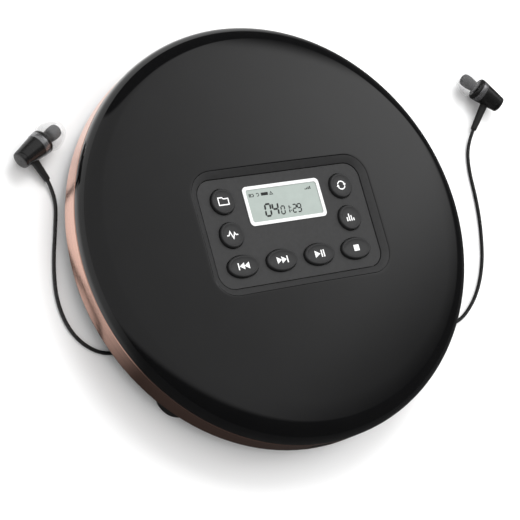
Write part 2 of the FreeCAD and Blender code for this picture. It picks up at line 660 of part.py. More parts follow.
def oval(long, short, across, up, low, height):
    """Upright prism with an elliptical outline."""
    ring = doc.addObject("Part::Ellipse", "Ellipse")
    ring.setExpression("MajorRadius", long)
    ring.setExpression("MinorRadius", short)
    ring.setExpression("Placement.Base.x", across)
    ring.setExpression("Placement.Base.y", up)
    ring.setExpression("Placement.Base.z", low)
    prism = doc.addObject("Part::Extrusion", "Extrusion")
    prism.Base = ring
    prism.DirMode = "Custom"
    prism.Dir = Z_AXIS
    prism.Solid = True
    prism.setExpression("LengthFwd", height)
    return prism


def control_panel():
    """Plate in the recess, with holes for the eight buttons and the display."""
    plate = new_body("Plate")
    low = "dim.plate_top - dim.plate_thick"
    under = low + " - dim.clearance"
    sketch = sketch_on(plate, lift=low)
    rounded(sketch, "0", "dim.panel_middle", "dim.plate_long", "dim.plate_wide", "dim.plate_corner")
    pad(plate, sketch, "dim.plate_thick")
    opening = sketch_on(plate, lift=under)
    rounded(opening, "0", "dim.display_middle", "dim.display_long - 2 * dim.display_frame",
            "dim.display_wide - 2 * dim.display_frame", "dim.window_corner")
    pocket(plate, opening, "dim.through")
    for _, across, up in ROUND_BUTTONS:
        hole = sketch_on(plate, lift=under)
        circle(hole, across, up, "dim.round_button + dim.button_gap")
        pocket(plate, hole, "dim.through")
    ovals = [oval("dim.oval_long + dim.button_gap", "dim.oval_short + dim.button_gap", across,
                  "dim.oval_row", under, "dim.through") for _, across in OVAL_BUTTONS]
    keep(cut(plate, ovals), "control_panel")


def panel_buttons():
    """Caps that stand above the plate, each with a flange that keeps it under the plate."""
    low = "dim.plate_top - dim.plate_thick - dim.flange_play - dim.flange_thick"
    top = "dim.plate_top + dim.button_rise"
    tall = "%s - (%s)" % (top, low)
    for label, across, up in ROUND_BUTTONS:
        cap = rod("dim.round_button", tall, (across, up, low))
        flange = rod("dim.round_button + dim.flange_width", "dim.flange_thick", (across, up, low))
        keep(rounded_edges(fuse([cap, flange]), "dim.button_edge", at_height(top)), label)
    for label, across in OVAL_BUTTONS:
        cap = oval("dim.oval_long", "dim.oval_short", across, "dim.oval_row", low, tall)
        flange = oval("dim.oval_long + dim.flange_width", "dim.oval_short + dim.flange_width",
                      across, "dim.oval_row", low, "dim.flange_thick")
        keep(rounded_edges(fuse([cap, flange]), "dim.button_edge", at_height(top)), label)


def display():
    """White surround, clear window and the display module under it."""
    long = "dim.display_long"
    wide = "dim.display_wide"
    inside = " - 2 * dim.display_frame"
    surround = new_body("Surround")
    outer = sketch_on(surround, lift="dim.plate_top")
    rounded(outer, "0", "dim.display_middle", long, wide, "dim.frame_corner")
    pad(surround, outer, "dim.frame_rise")
    inner = sketch_on(surround, lift="dim.plate_top - dim.clearance")
    rounded(inner, "0", "dim.display_middle", long + inside, wide + inside, "dim.window_corner")
    pocket(surround, inner, "dim.through")
    keep(surround, "lcd_frame")
    window = new_body("Window")
    pane = sketch_on(window, lift="dim.plate_top - dim.plate_thick")
    fitted = inside + " - 2 * dim.pane_play"
    rounded(pane, "0", "dim.display_middle", long + fitted, wide + fitted, "dim.window_corner")
    pad(window, pane, "dim.plate_thick + dim.pane_rise")
    keep(window, "lcd_window")
    module = new_body("Module")
    glass = sketch_on(module, lift="dim.ledge_bottom")
    rounded(glass, "0", "dim.display_middle", long, wide, "dim.module_corner")
    pad(module, glass, "dim.plate_top - dim.plate_thick - dim.ledge_bottom")
    keep(module, "lcd_module")


def switch_board():
    """Board under the panel, and the sheet of dome switches on it."""
    board = new_body("SwitchBoard")
    sketch = sketch_on(board, lift="dim.ledge_bottom - dim.board_thick")
    rounded(sketch, "0", "dim.panel_middle", "dim.plate_long + 2 * dim.board_spread",
            "dim.plate_wide + 2 * dim.board_spread", "dim.board_corner")
    pad(board, sketch, "dim.board_thick")
    keep(board, "panel_board")
    spots = [(across, up) for _, across, up in ROUND_BUTTONS]
    spots += [(across, "dim.oval_row") for _, across in OVAL_BUTTONS]
    domes = [cone("dim.dome_base", "dim.dome_top", "dim.dome_height", (across, up, "dim.ledge_bottom"))
             for across, up in spots]
    joined = doc.addObject("Part::Compound", "Domes")
    joined.Links = domes
    keep(joined, "dome_switches")


# ---------------------------------------------------------------- disc mechanism
PRESSURE_ANGLE = math.radians(20)
TOOTH_RISE = 0.8
TOOTH_DEPTH = 1.0
SPARE_TEETH = 2
FLANK_STEPS = 4
# the chassis plate's strips seen from above: left, front, right, rear
CHASSIS_STRIPS = [(-20, -62, -12.5, 16), (12.5, -62, 20, 16), (-20, -13, 20, 16), (19.5, -50, 38, -22)]


def guide_rod(side, radius, start, length):
    """Rod along the sled's way on one side of the body, side being -1 or 1."""
    return rod(radius, length, ("%d * dim.rod_offset" % side, start, "dim.rod_height"), Y_AXIS)


def chassis():
    """Plate under the deck with a slot for the sled and blocks that hold the guide rods."""
    low = "dim.chassis_low"
    high = "dim.chassis_low + dim.chassis_thick"
    pieces = [slab(edges, low, high) for edges in CHASSIS_STRIPS]
    for side in (-1, 1):
        middle = "%d * dim.rod_offset" % side
        for start in ("-dim.rod_start", "-dim.rod_end - dim.rod_block_long"):
            pieces.append(block((middle + " - dim.rod_block_half", start, "dim.rod_block_low"),
                                (middle + " + dim.rod_block_half", start + " + dim.rod_block_long",
                                 low + " + dim.overlap")))
    holes = [guide_rod(side, "dim.rod_radius + dim.rod_press", "-dim.rod_start - dim.clearance",
                       "dim.rod_start") for side in (-1, 1)]
    hub = rod("dim.bearing_hole", "dim.chassis_thick + 2 * dim.clearance",
              ("0", "0", low + " - dim.clearance"))
    keep(cut(fuse(pieces), holes + [hub]), "mech_chassis")
    for label, side in (("guide_rod_left", -1), ("guide_rod_right", 1)):
        keep(guide_rod(side, "dim.rod_radius", "-dim.rod_start", "dim.rod_start - dim.rod_end"), label)


def spindle():
    """Spindle motor under the chassis, and the turntable with its hub and shaft."""
    low = "dim.chassis_low"
    can = rod("dim.motor_radius", "dim.motor_tall", ("0", "0", low + " - dim.motor_tall"))
    bearing = rod("dim.bearing_radius", "dim.bearing_tall + dim.overlap",
                  ("0", "0", low + " - dim.overlap"))
    bore = rod("dim.bore_radius", "dim.bore_depth + dim.bearing_tall + dim.clearance",
               ("0", "0", low + " - dim.bore_depth"))
    keep(cut(fuse([can, bearing]), [bore]), "spindle_motor")
    table = new_body("Turntable")
    seat = "dim.disc_seat"
    revolve(table, [
        ("0", low + " - dim.shaft_depth"), ("dim.shaft_radius", low + " - dim.shaft_depth"),
        ("dim.shaft_radius", "dim.collar_low"), ("dim.collar_radius", "dim.collar_low"),
        ("dim.collar_radius", seat + " - dim.table_thick"),
        ("dim.table_radius", seat + " - dim.table_thick"), ("dim.table_radius", seat),
        ("dim.hub_radius", seat), ("dim.hub_radius", seat + " + dim.hub_tall"),
        ("dim.hub_radius - dim.hub_cone", seat + " + dim.hub_tall + dim.hub_edge"),
        ("0", seat + " + dim.hub_tall + dim.hub_edge"),
    ])
    keep(table, "turntable")


def pickup():
    """Sled on the guide rods with a toothed rack on its right side, and the lens on top."""
    middle = "-dim.sled_start"
    front = middle + " - dim.sled_reach"
    body = block(("-dim.sled_half", front, "dim.sled_low"),
                 ("dim.sled_half", middle + " + dim.sled_reach", "dim.sled_high"))
    lugs = block(("-dim.rod_offset - dim.lug_past", middle + " - dim.lug_reach", "dim.lug_low"),
                 ("dim.rod_offset + dim.lug_past", middle + " + dim.lug_reach", "dim.lug_high"))
    bores = [guide_rod(side, "dim.rod_radius + dim.rod_play", front, "2 * dim.sled_reach")
             for side in (-1, 1)]
    frame = cut(fuse([body, lugs]), bores)
    doc.recompute()
    sled = doc.addObject("Part::Feature", "Sled")
    sled.Shape = frame.Shape.fuse(rack_shape()).removeSplitter()
    keep(sled, "pickup_sled")
    keep(rod("dim.lens_radius", "dim.lens_tall", ("0", middle + " - dim.lens_back", "dim.sled_high")),
         "pickup_lens")


def rack_shape():
    """Rack whose pitch line is upright to the idler, long enough for the sled's whole stroke."""
    module = value("dim.gear_module")
    pitch = math.pi * module
    line = value("dim.rack_line")
    idler = -value("dim.idler_reach")
    low = value("dim.gear_low")
    thick = value("dim.gear_thick")
    slope = math.tan(PRESSURE_ANGLE)
    play = value("dim.gear_play")
    tip = line + TOOTH_RISE * module
    root = line - TOOTH_DEPTH * module
    back = root - value("dim.rack_back")
    first = -SPARE_TEETH
    last = math.ceil(value("dim.sled_stroke") / pitch) + SPARE_TEETH
    half_root = pitch / 4 - play / 2 + slope * (line - root)
    half_tip = pitch / 4 - play / 2 - slope * (tip - line)
    start = idler + (first - 0.5) * pitch
    end = idler + (last + 0.5) * pitch
    points = [V(back, start, low), V(root, start, low)]
    for tooth in range(first, last + 1):
        middle = idler + tooth * pitch
        points += [V(root, middle - half_root, low), V(tip, middle - half_tip, low),
                   V(tip, middle + half_tip, low), V(root, middle + half_root, low)]
    points += [V(root, end, low), V(back, end, low)]
    bar = Part.Face(Part.makePolygon(points + [points[0]])).extrude(V(0, 0, thick))
    web_start = value("dim.web_start")
    reach = value("dim.web_reach")
    corner = V(web_start, -value("dim.sled_start") - reach, low)
    web = Part.makeBox(back + value("dim.web_overlap") - web_start, 2 * reach, thick, corner)
    return bar.fuse(web)


def gear_shape(teeth, bore, phase):
    """Spur gear with involute flanks about the upright axis, one tooth middle at angle phase."""
    module = value("dim.gear_module")
    pitch_radius = module * teeth / 2
    base_radius = pitch_radius * math.cos(PRESSURE_ANGLE)
    tip = pitch_radius + TOOTH_RISE * module
    root = pitch_radius - TOOTH_DEPTH * module
    half_tooth = math.pi / (2 * teeth) - value("dim.gear_play") / (2 * pitch_radius)

    def involute(radius):
        turn = math.sqrt(max((radius / base_radius) ** 2 - 1, 0))
        return turn - math.atan(turn)

    at_pitch = involute(pitch_radius)
    flank_start = max(base_radius, root)
    steps = [flank_start + (tip - flank_start) * step / FLANK_STEPS for step in range(FLANK_STEPS + 1)]
    points = []
    for tooth in range(teeth):
        middle = phase + 2 * math.pi * tooth / teeth
        flank = [(radius, half_tooth + at_pitch - involute(radius)) for radius in steps]
        rising = [(root, flank[0][1])] + flank if root < steps[0] - 1e-6 else flank
        for radius, half in rising:
            points.append(V(radius * math.cos(middle - half), radius * math.sin(middle - half), 0))
        for radius, half in reversed(rising):
            points.append(V(radius * math.cos(middle + half), radius * math.sin(middle + half), 0))
    thick = value("dim.gear_thick")
    clear = value("dim.clearance")
    wheel = Part.Face(Part.makePolygon(points + [points[0]])).extrude(V(0, 0, thick))
    return wheel.cut(Part.makeCylinder(bore, thick + 2 * clear, V(0, 0, -clear)))


def gear_train():
    """Idler between the rack and the pinion, and the small motor under the pinion."""
    module = value("dim.gear_module")
    idler_teeth = int(value("dim.idler_teeth"))
    pinion_teeth = int(value("dim.pinion_teeth"))
    low = value("dim.gear_low")
    idler_spot = V(value("dim.rack_line") + module * idler_teeth / 2, -value("dim.idler_reach"), low)
    towards = math.radians(value("dim.pinion_angle"))
    spread = module * (idler_teeth + pinion_teeth) / 2
    pinion_spot = idler_spot + V(math.cos(towards), math.sin(towards), 0) * spread
    idler_step = 2 * math.pi / idler_teeth
    pinion_step = 2 * math.pi / pinion_teeth
    idler_phase = math.pi + idler_step / 2
    past = ((towards - idler_phase) / idler_step) % 1.0
    pinion_phase = towards + math.pi + (past + 0.5) * pinion_step

    for label, teeth, bore, spot, phase in (
            ("idler_gear", idler_teeth, "dim.idler_bore", idler_spot, idler_phase),
            ("motor_pinion", pinion_teeth, "dim.pinion_bore", pinion_spot, pinion_phase)):
        wheel = doc.addObject("Part::Feature", "Gear")
        wheel.Shape = gear_shape(teeth, value(bore), phase)
        wheel.Placement = FreeCAD.Placement(spot, FreeCAD.Rotation())
        keep(wheel, label)
    floor_top = "dim.base_bottom + dim.base_floor"
    can = rod("dim.sled_motor_radius", "dim.sled_motor_tall", (pinion_spot.x, pinion_spot.y, floor_top))
    shaft = rod("dim.sled_shaft_radius", "dim.sled_shaft_tall",
                (pinion_spot.x, pinion_spot.y, "dim.sled_shaft_low"))
    keep(fuse([can, shaft]), "sled_motor")
    post = rod("dim.idler_post_radius", "dim.idler_post_tall",
               (idler_spot.x, idler_spot.y, "dim.idler_post_low"))
    foot = rod("dim.idler_foot_radius", "dim.idler_foot_tall", (idler_spot.x, idler_spot.y, floor_top))
    keep(fuse([post, foot]), "idler_post")


# ---------------------------------------------------------------- earphones and cord
# each earphone: label, back of the housing, heading in degrees, end of its stem
EARPHONES = [
    ("left", V(-77.6, 36.2, 0), 31.0, V(-68.6, 30.4, 1.5)),
    ("right", V(112.8, 36.6, 0), 137.5, V(100.9, 29.8, 1.6)),
]
LEFT_ROUTE = [(-68.6, 30.4, 1.5), (-66.7, 24.6, 0.8), (-69.6, 14.5, 0.7), (-73.4, 2.5, 0.7),
              (-75.2, -9.5, 0.7), (-72.4, -20.6, 0.7), (-64.2, -27.6, 0.7), (-53.6, -26.4, 0.7),
              (-42.8, -22.2, 0.7), (-30.6, -19.0, 0.7), (-19.2, -10.6, 0.7)]
RIGHT_ROUTE = [(100.9, 29.8, 1.6), (96.6, 24.4, 0.8), (94.0, 15.2, 0.7), (93.4, 4.0, 0.7),
               (91.3, -8.2, 0.7), (87.0, -21.4, 0.7), (79.2, -32.6, 0.7), (68.2, -39.7, 0.7),
               (57.0, -36.6, 0.7), (47.4, -29.4, 0.7), (36.2, -25.2, 0.7), (27.6, -16.4, 0.7),
               (19.2, -10.6, 0.7)]
LEAD_ROUTE = [(72.1, 13.0, 8.55), (72.0, 19.6, 8.1), (71.4, 26.8, 5.4), (68.2, 33.2, 2.6),
              (61.4, 36.0, 1.2), (53.4, 32.6, 1.0), (45.8, 26.6, 1.3), (36.8, 23.4, 1.8),
              (28.6, 17.4, 2.1), (20.0, 9.1, 2.15)]


def earphones():
    """Housings, soft tips and the tapered stems that the cord comes out of."""
    tall = value("dim.ear_height")
    end = "dim.ear_long + dim.nozzle_long"
    for side, back, heading, stem_end in EARPHONES:
        where = FreeCAD.Placement(V(back.x, back.y, tall), FreeCAD.Rotation(Z_AXIS, heading))
        where = where * FreeCAD.Placement(V(0, 0, 0), FreeCAD.Rotation(Y_AXIS, 90))
        housing = new_body("Housing")
        revolve(housing, [
            ("0", "0"), ("dim.ear_back - dim.ear_round", "0"),
            ("dim.ear_back", "dim.ear_round", "dim.ear_round"),
            ("dim.ear_front", "dim.ear_long - dim.ear_edge"),
            ("dim.ear_front - dim.ear_edge", "dim.ear_long"),
            ("dim.nozzle_radius", "dim.ear_long"), ("dim.nozzle_radius", end), ("0", end),
        ])
        housing.Placement = where
        keep(housing, "%s_housing" % side)
        tip = new_body("Tip")
        start = "dim.ear_long + dim.tip_gap"
        bore = "dim.nozzle_radius + dim.nozzle_play"
        past = end + " + 2 * dim.nozzle_play"
        revolve(tip, [
            (bore, start + " + dim.tip_root"), ("dim.tip_radius - dim.tip_edge", start),
            ("dim.tip_radius", start + " + dim.tip_edge"),
            ("dim.tip_radius - dim.tip_taper", start + " + dim.tip_full"),
            ("dim.tip_end", start + " + dim.tip_long", "dim.tip_bend"),
            ("dim.tip_hole", start + " + dim.tip_long"), ("dim.tip_hole", past), (bore, past),
        ])
        tip.Placement = where
        keep(tip, "%s_tip" % side)
        root = where.multVec(V(0, 0, value("dim.stem_along")))
        root.z = tall - value("dim.stem_drop")
        run = stem_end - root
        stem = cone("dim.stem_base", "dim.stem_end", run.Length, tuple(root), run)
        keep(cut(stem, [housing]), "%s_stem" % side)


# share of the shorter run at a corner that the arc there takes from each run
BEND_SHARE = 0.45


def tube(label, points, radius):
    """Round cord along straight runs joined by tangent arcs, each as large as its runs allow."""
    corners = [V(*point) for point in points]
    edges = []
    start = corners[0]
    for before, corner, after in zip(corners, corners[1:], corners[2:]):
        way_in = (corner - before).normalize()
        way_out = (after - corner).normalize()
        half_turn = way_in.getAngle(way_out) / 2
        trim = BEND_SHARE * min((corner - before).Length, (after - corner).Length)
        bend = trim / math.tan(half_turn)
        arc_start = corner - way_in * trim
        arc_end = corner + way_out * trim
        inward = (way_out - way_in).normalize()
        middle = corner + inward * (bend / math.cos(half_turn) - bend)
        edges.append(Part.LineSegment(start, arc_start).toShape())
        edges.append(Part.Arc(arc_start, middle, arc_end).toShape())
        start = arc_end
    edges.append(Part.LineSegment(start, corners[-1]).toShape())
    section = Part.Wire(Part.Circle(corners[0], corners[1] - corners[0], radius).toShape())
    cord = doc.addObject("Part::Feature", "Cord")
    cord.Shape = Part.Wire(edges).makePipeShell([section], True, True)
    keep(cord, label)


def runs_along_y(edge):
    """Edge test: the edge runs straight along Y."""
    box = edge.BoundBox
    return box.XLength < 1e-3 and box.ZLength < 1e-3


def cord_and_plug():
    """Two branches, the lead, the coil that holds the spare length, the splitter and the plug."""
    tube("cord_left", LEFT_ROUTE, value("dim.branch_radius"))
    tube("cord_right", RIGHT_ROUTE, value("dim.branch_radius"))
    tube("cord_lead", LEAD_ROUTE, value("dim.lead_radius"))
    coil = new_body("Coil")
    ring = sketch_on(coil, lift="dim.coil_bottom")
    circle(ring, "0", "0", "dim.coil_outer")
    circle(ring, "0", "0", "dim.coil_inner")
    pad(coil, ring, "dim.coil_top - dim.coil_bottom")
    keep(coil, "cord_coil")
    splitter = new_body("Splitter")
    oblong = sketch_on(splitter, lift="dim.splitter_low")
    rounded(oblong, "0", "0", "dim.splitter_wide", "dim.splitter_long", "dim.splitter_corner")
    pad(splitter, oblong, "dim.splitter_tall")
    keep(splitter, "cord_splitter")
    tall = "dim.socket_height"
    grip = block(("dim.grip_start", "-dim.grip_rear", tall + " - dim.grip_half"),
                 ("dim.grip_end", "dim.grip_front", tall + " + dim.grip_half"))
    soft_grip = rounded_edges(grip, "dim.grip_edge", runs_along_y)
    relief = cone("dim.relief_base", "dim.relief_tip", "dim.relief_long",
                  ("dim.cord_line", "dim.relief_start", tall), Y_AXIS)
    keep(fuse([soft_grip, relief]), "plug_grip")
    pin = rod("dim.plug_pin_radius", "dim.plug_pin_long", ("dim.plug_pin_start", "0", tall), X_AXIS)
    keep(pin, "plug_pin")


# ---------------------------------------------------------------- build and write
def write_parts():
    doc.recompute()
    bad = [item.Label for item in doc.Objects if "Invalid" in item.State or "Error" in item.State]
    if bad:
        raise RuntimeError("failed objects: %s" % bad)
    for piece in nodes:
        shape = piece.Shape
        if shape.isNull() or not shape.isValid() or not shape.Solids:
            raise RuntimeError("bad shape: " + piece.Label)
    if len({piece.Label for piece in nodes}) != len(nodes):
        raise RuntimeError("two sub-parts share a label")
    for piece in nodes:
        piece.Shape.exportStep("parts/%s.step" % piece.Label)
    print(len(nodes), "sub-parts written")


base_shell()
rim_ring()
disc_deck()
feet()
electronics()
sockets()
side_controls()
open_button()
hinge_pin()
lid_shell()
lid_liner()
control_panel()
panel_buttons()
display()
switch_board()
chassis()
spindle()
pickup()
gear_train()
earphones()
cord_and_plug()
write_parts()
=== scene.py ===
"""Visual model of a portable CD player with in-ear earphones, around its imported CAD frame.

Sizes are millimetres in the frame's own axes: +Z up, +Y to the lid's hinge, +X to the sockets.
"""
import math

import bmesh
import bpy
from mathutils import Matrix, Vector


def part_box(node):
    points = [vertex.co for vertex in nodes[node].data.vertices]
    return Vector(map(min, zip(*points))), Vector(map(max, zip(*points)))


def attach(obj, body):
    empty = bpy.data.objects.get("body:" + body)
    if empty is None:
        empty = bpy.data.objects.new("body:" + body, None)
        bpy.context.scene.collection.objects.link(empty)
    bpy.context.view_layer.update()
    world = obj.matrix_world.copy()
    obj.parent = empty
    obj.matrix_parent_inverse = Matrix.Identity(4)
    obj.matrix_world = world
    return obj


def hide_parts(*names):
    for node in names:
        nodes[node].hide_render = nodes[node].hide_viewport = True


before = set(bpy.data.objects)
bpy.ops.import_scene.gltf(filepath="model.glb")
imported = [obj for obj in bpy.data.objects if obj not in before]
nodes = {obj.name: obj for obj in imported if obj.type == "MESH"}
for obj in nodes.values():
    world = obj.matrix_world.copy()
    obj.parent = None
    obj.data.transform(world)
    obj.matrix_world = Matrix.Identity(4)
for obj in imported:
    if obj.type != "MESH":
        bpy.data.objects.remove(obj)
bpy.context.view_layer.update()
scene = bpy.context.scene
MM = 0.001
FULL_TURN = 2 * math.pi


def box_mm(node):
    """Lowest and highest corner of a CAD node, in millimetres."""
    low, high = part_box(node)
    return low / MM, high / MM


# ---------------------------------------------------------------- camera
CAMERA_SPOT = Vector((-277.9, -103.9, 456.5)) * MM
CAMERA_AZIMUTH = math.radians(-69.508)
CAMERA_ELEVATION = math.radians(56.860)
CAMERA_ROLL = math.radians(57.17)
SENSOR_WIDTH = 36
FOCAL_LENGTH = 114.2
CAMERA_SHIFT = (-0.0006, -0.0338)
CLIP_START = 10 * MM


def add_camera():
    """Camera above the left side, rolled about its own axis."""
    back = Vector((math.sin(CAMERA_AZIMUTH) * math.cos(CAMERA_ELEVATION),
                   -math.cos(CAMERA_AZIMUTH) * math.cos(CAMERA_ELEVATION),
                   math.sin(CAMERA_ELEVATION)))
    level = Vector((0, 0, 1)).cross(back).normalized()
    turn = Matrix.Rotation(CAMERA_ROLL, 3, back)
    right = turn @ level
    upward = turn @ back.cross(level)
    data = bpy.data.cameras.new("camera")
    data.sensor_width = SENSOR_WIDTH
    data.lens = FOCAL_LENGTH
    data.shift_x, data.shift_y = CAMERA_SHIFT
    data.clip_start = CLIP_START
    camera = bpy.data.objects.new("camera", data)
    camera.matrix_world = Matrix((
        (right.x, upward.x, back.x, CAMERA_SPOT.x),
        (right.y, upward.y, back.y, CAMERA_SPOT.y),
        (right.z, upward.z, back.z, CAMERA_SPOT.z),
        (0, 0, 0, 1)))
    scene.collection.objects.link(camera)
    scene.camera = camera


# ---------------------------------------------------------------- materials
# the middle of a noise's range, where nearly all of it lies, and the ends of a colour ramp over it
NOISE_MIDDLE = (0.3, 0.7)
RAMP_ENDS = (0.35, 0.65)
# how many times coarser than the grain the patches of colour and of gloss are
COLOUR_COARSER = 12
GLOSS_COARSER = 5
BUMP_DEPTH = 0.05 * MM
BUMP_DETAIL = 2.0


def node_material(name):
    """Material with a Principled shader, its tree and its shader."""
    made = bpy.data.materials.new(name)
    made.use_nodes = True
    tree = made.node_tree
    return made, tree, tree.nodes["Principled BSDF"]


def noise(tree, scale, detail=4.0, stretch=(1, 1, 1)):
    """Noise in object space, scale in features per metre, stretched along the axes."""
    place = tree.nodes.new("ShaderNodeTexCoord")
    mapping = tree.nodes.new("ShaderNodeMapping")
    mapping.inputs["Scale"].default_value = stretch
    texture = tree.nodes.new("ShaderNodeTexNoise")
    texture.inputs["Scale"].default_value = scale
    texture.inputs["Detail"].default_value = detail
    tree.links.new(place.outputs["Object"], mapping.inputs["Vector"])
    tree.links.new(mapping.outputs["Vector"], texture.inputs["Vector"])
    return texture.outputs["Fac"]


def spread(tree, source, low, high):
    """Stretch the middle of a noise over a range."""
    stretch = tree.nodes.new("ShaderNodeMapRange")
    ends = ("From Min", "From Max", "To Min", "To Max")
    for socket, number in zip(ends, (*NOISE_MIDDLE, low, high)):
        stretch.inputs[socket].default_value = number
    tree.links.new(source, stretch.inputs["Value"])
    return stretch.outputs["Result"]


def two_tone(tree, source, first, second):
    """Colour ramp between two colours."""
    ramp = tree.nodes.new("ShaderNodeValToRGB")
    for element, position, colour in zip(ramp.color_ramp.elements, RAMP_ENDS, (first, second)):
        element.position = position
        element.color = (*colour, 1)
    tree.links.new(source, ramp.inputs["Fac"])
    return ramp.outputs["Color"]


def surface(name, colour, rough, grain=6000, relief=0.05, mottle=0.1, stretch=(1, 1, 1), **sockets):
    """Surface with slight colour change, uneven gloss and a fine relief.

    grain is in features per metre, relief the bump's strength and mottle the colour change.
    Names in sockets are those of the Principled shader, with _ for a space.
    """
    made, tree, shader = node_material(name)
    darker = tuple(part * (1 - mottle) for part in colour)
    lighter = tuple(min(1.0, part * (1 + mottle)) for part in colour)
    patches = noise(tree, grain / COLOUR_COARSER, stretch=stretch)
    tree.links.new(two_tone(tree, patches, darker, lighter), shader.inputs["Base Color"])
    uneven = noise(tree, grain / GLOSS_COARSER, stretch=stretch)
    tree.links.new(spread(tree, uneven, *rough), shader.inputs["Roughness"])
    bump = tree.nodes.new("ShaderNodeBump")
    bump.inputs["Strength"].default_value = relief
    bump.inputs["Distance"].default_value = BUMP_DEPTH
    tree.links.new(noise(tree, grain, BUMP_DETAIL, stretch), bump.inputs["Height"])
    tree.links.new(bump.outputs["Normal"], shader.inputs["Normal"])
    for socket, number in sockets.items():
        shader.inputs[socket.replace("_", " ")].default_value = number
    return made


MATERIALS = {
    "gloss_black": surface("gloss_black", (0.003, 0.003, 0.0032), (0.05, 0.08), 900, 0.004,
                           IOR=1.5),
    "rose_band": surface("rose_band", (0.84, 0.52, 0.42), (0.16, 0.24), 900, 0.08, 0.06,
                         stretch=(0.12, 0.12, 9.0), Metallic=1.0),
    "black_plastic": surface("black_plastic", (0.014, 0.014, 0.014), (0.38, 0.5), 6000, 0.12),
    "panel_black": surface("panel_black", (0.031, 0.031, 0.0315), (0.46, 0.56), 9000, 0.10, 0.06),
    "key_black": surface("key_black", (0.023, 0.023, 0.0235), (0.34, 0.42), 9000, 0.07, 0.06),
    "deck_grey": surface("deck_grey", (0.030, 0.030, 0.032), (0.42, 0.55), 5000, 0.2),
    "white_plastic": surface("white_plastic", (0.74, 0.74, 0.74), (0.2, 0.3), 3000, 0.03, 0.02),
    "print_white": surface("print_white", (0.88, 0.88, 0.88), (0.4, 0.5), 8000, 0.05, 0.03),
    "display_face": surface("display_face", (0.32, 0.365, 0.34), (0.12, 0.18), 4000, 0.01, 0.025,
                            Coat_Weight=0.6),
    "segments": surface("segments", (0.008, 0.010, 0.009), (0.3, 0.4), 6000, 0.02),
    "rubber": surface("rubber", (0.011, 0.011, 0.011), (0.5, 0.65), 5000, 0.25),
    "board_green": surface("board_green", (0.02, 0.12, 0.06), (0.35, 0.5), 4000, 0.1, 0.25),
    "battery_wrap": surface("battery_wrap", (0.12, 0.13, 0.16), (0.3, 0.4), 1500, 0.08),
    "steel": surface("steel", (0.56, 0.56, 0.57), (0.22, 0.36), 6000, 0.06, 0.06, Metallic=1.0),
    "lens": surface("lens", (0.10, 0.05, 0.22), (0.03, 0.06), 2000, 0.0, 0.2, Coat_Weight=1.0),
    "acetal": surface("acetal", (0.74, 0.73, 0.68), (0.4, 0.5), 4000, 0.08, 0.05),
    "cord": surface("cord", (0.009, 0.009, 0.0095), (0.24, 0.34), 6000, 0.08),
    "brass": surface("brass", (0.78, 0.60, 0.30), (0.15, 0.25), 5000, 0.03, 0.06, Metallic=1.0),
    "ear_black": surface("ear_black", (0.008, 0.008, 0.008), (0.20, 0.30), 7000, 0.05,
                         Coat_Weight=0.3),
    "ear_ring": surface("ear_ring", (0.34, 0.34, 0.35), (0.22, 0.30), 5000, 0.03, 0.06,
                        Metallic=0.85),
    "ear_core": surface("ear_core", (0.018, 0.018, 0.0185), (0.5, 0.6), 5000, 0.08),
    "silicone": surface("silicone", (0.50, 0.50, 0.51), (0.22, 0.3), 2000, 0.02, 0.01, Alpha=0.10),
}
CAD_FINISH = {
    "rose_band": ["rim_ring"],
    "black_plastic": ["base_shell", "headphone_jack", "line_out_jack", "open_button", "hold_knob",
                      "volume_up_button", "volume_down_button", "plug_grip", "cord_splitter"],
    "panel_black": ["control_panel"],
    "deck_grey": ["disc_deck", "lid_liner", "pickup_sled", "turntable"],
    "white_plastic": ["lcd_frame"],
    "display_face": ["lcd_window", "lcd_module"],
    "board_green": ["main_board", "panel_board"],
    "battery_wrap": ["battery"],
    "steel": ["hinge_pin", "lid_screw_1", "lid_screw_2", "mech_chassis", "guide_rod_left",
              "guide_rod_right", "spindle_motor", "sled_motor", "idler_post", "usb_socket",
              "dome_switches"],
    "lens": ["pickup_lens"],
    "acetal": ["idler_gear", "motor_pinion"],
    "rubber": ["foot_1", "foot_2", "foot_3", "foot_4"],
    "brass": ["plug_pin"],
}


def paint_cad():
    """Give each CAD node that stays in view its material, in every slot."""
    for finish, painted in CAD_FINISH.items():
        for node in painted:
            slots = nodes[node].data.materials
            if len(slots) == 0:
                slots.append(MATERIALS[finish])
            for place in range(len(slots)):
                slots[place] = MATERIALS[finish]


# ---------------------------------------------------------------- stage
# the soft panel that shiny surfaces see, and the planes where dark cards cut it off; the plane past
# which the floor, as shiny surfaces see it, gets painted shade; and the level of both the dark
# cards and that painted shade
PANEL_DIRECTION = Vector((0.70, 0.33, 0.63)).normalized()
PANEL_BRIGHT = 1.2
PANEL_ROUND = 0.58
PANEL_FALL = 16
REAR_CARD = (Vector((0.5, 1.0, 0.0)), 0.775, 0.725)
FRONT_CARD = (Vector((-0.45, 1.0, 0.53)), -0.04, 0.26)
FLOOR_PAINTED_SHADE = (Vector((-0.64, 0.77, 0.0)), 0.09, 0.58)
CARD_AND_PAINTED_SHADE_SHARE = 0.05
# the room's even light, and the brighter side of it
ROOM_EVEN = 0.60
ROOM_SIDE = 0.95
ROOM_DIRECTION = Vector((0.45, 0.42, 0.79)).normalized()
# painted shade: how far from the middle the floor, as shiny surfaces see it, starts to be painted
# darker, and where that ends
FLOOR_NEAR = 82
FLOOR_FAR = 96
FLOOR_DIM = 0.5
FLOOR_SIZE = 6
FLOOR_DROP = 0.02 * MM
FLOOR_GRAIN = 3
FLOOR_TONES = ((0.90, 0.90, 0.90), (0.92, 0.92, 0.92))
FLOOR_ROUGH = 0.8
# name, place in metres, side in metres and power of each lamp
LAMPS = [("key_light", Vector((0.35, 0.75, 1.0)), 0.6, 8),
         ("side_light", Vector((0.9, 0.1, 0.6)), 0.5, 3)]


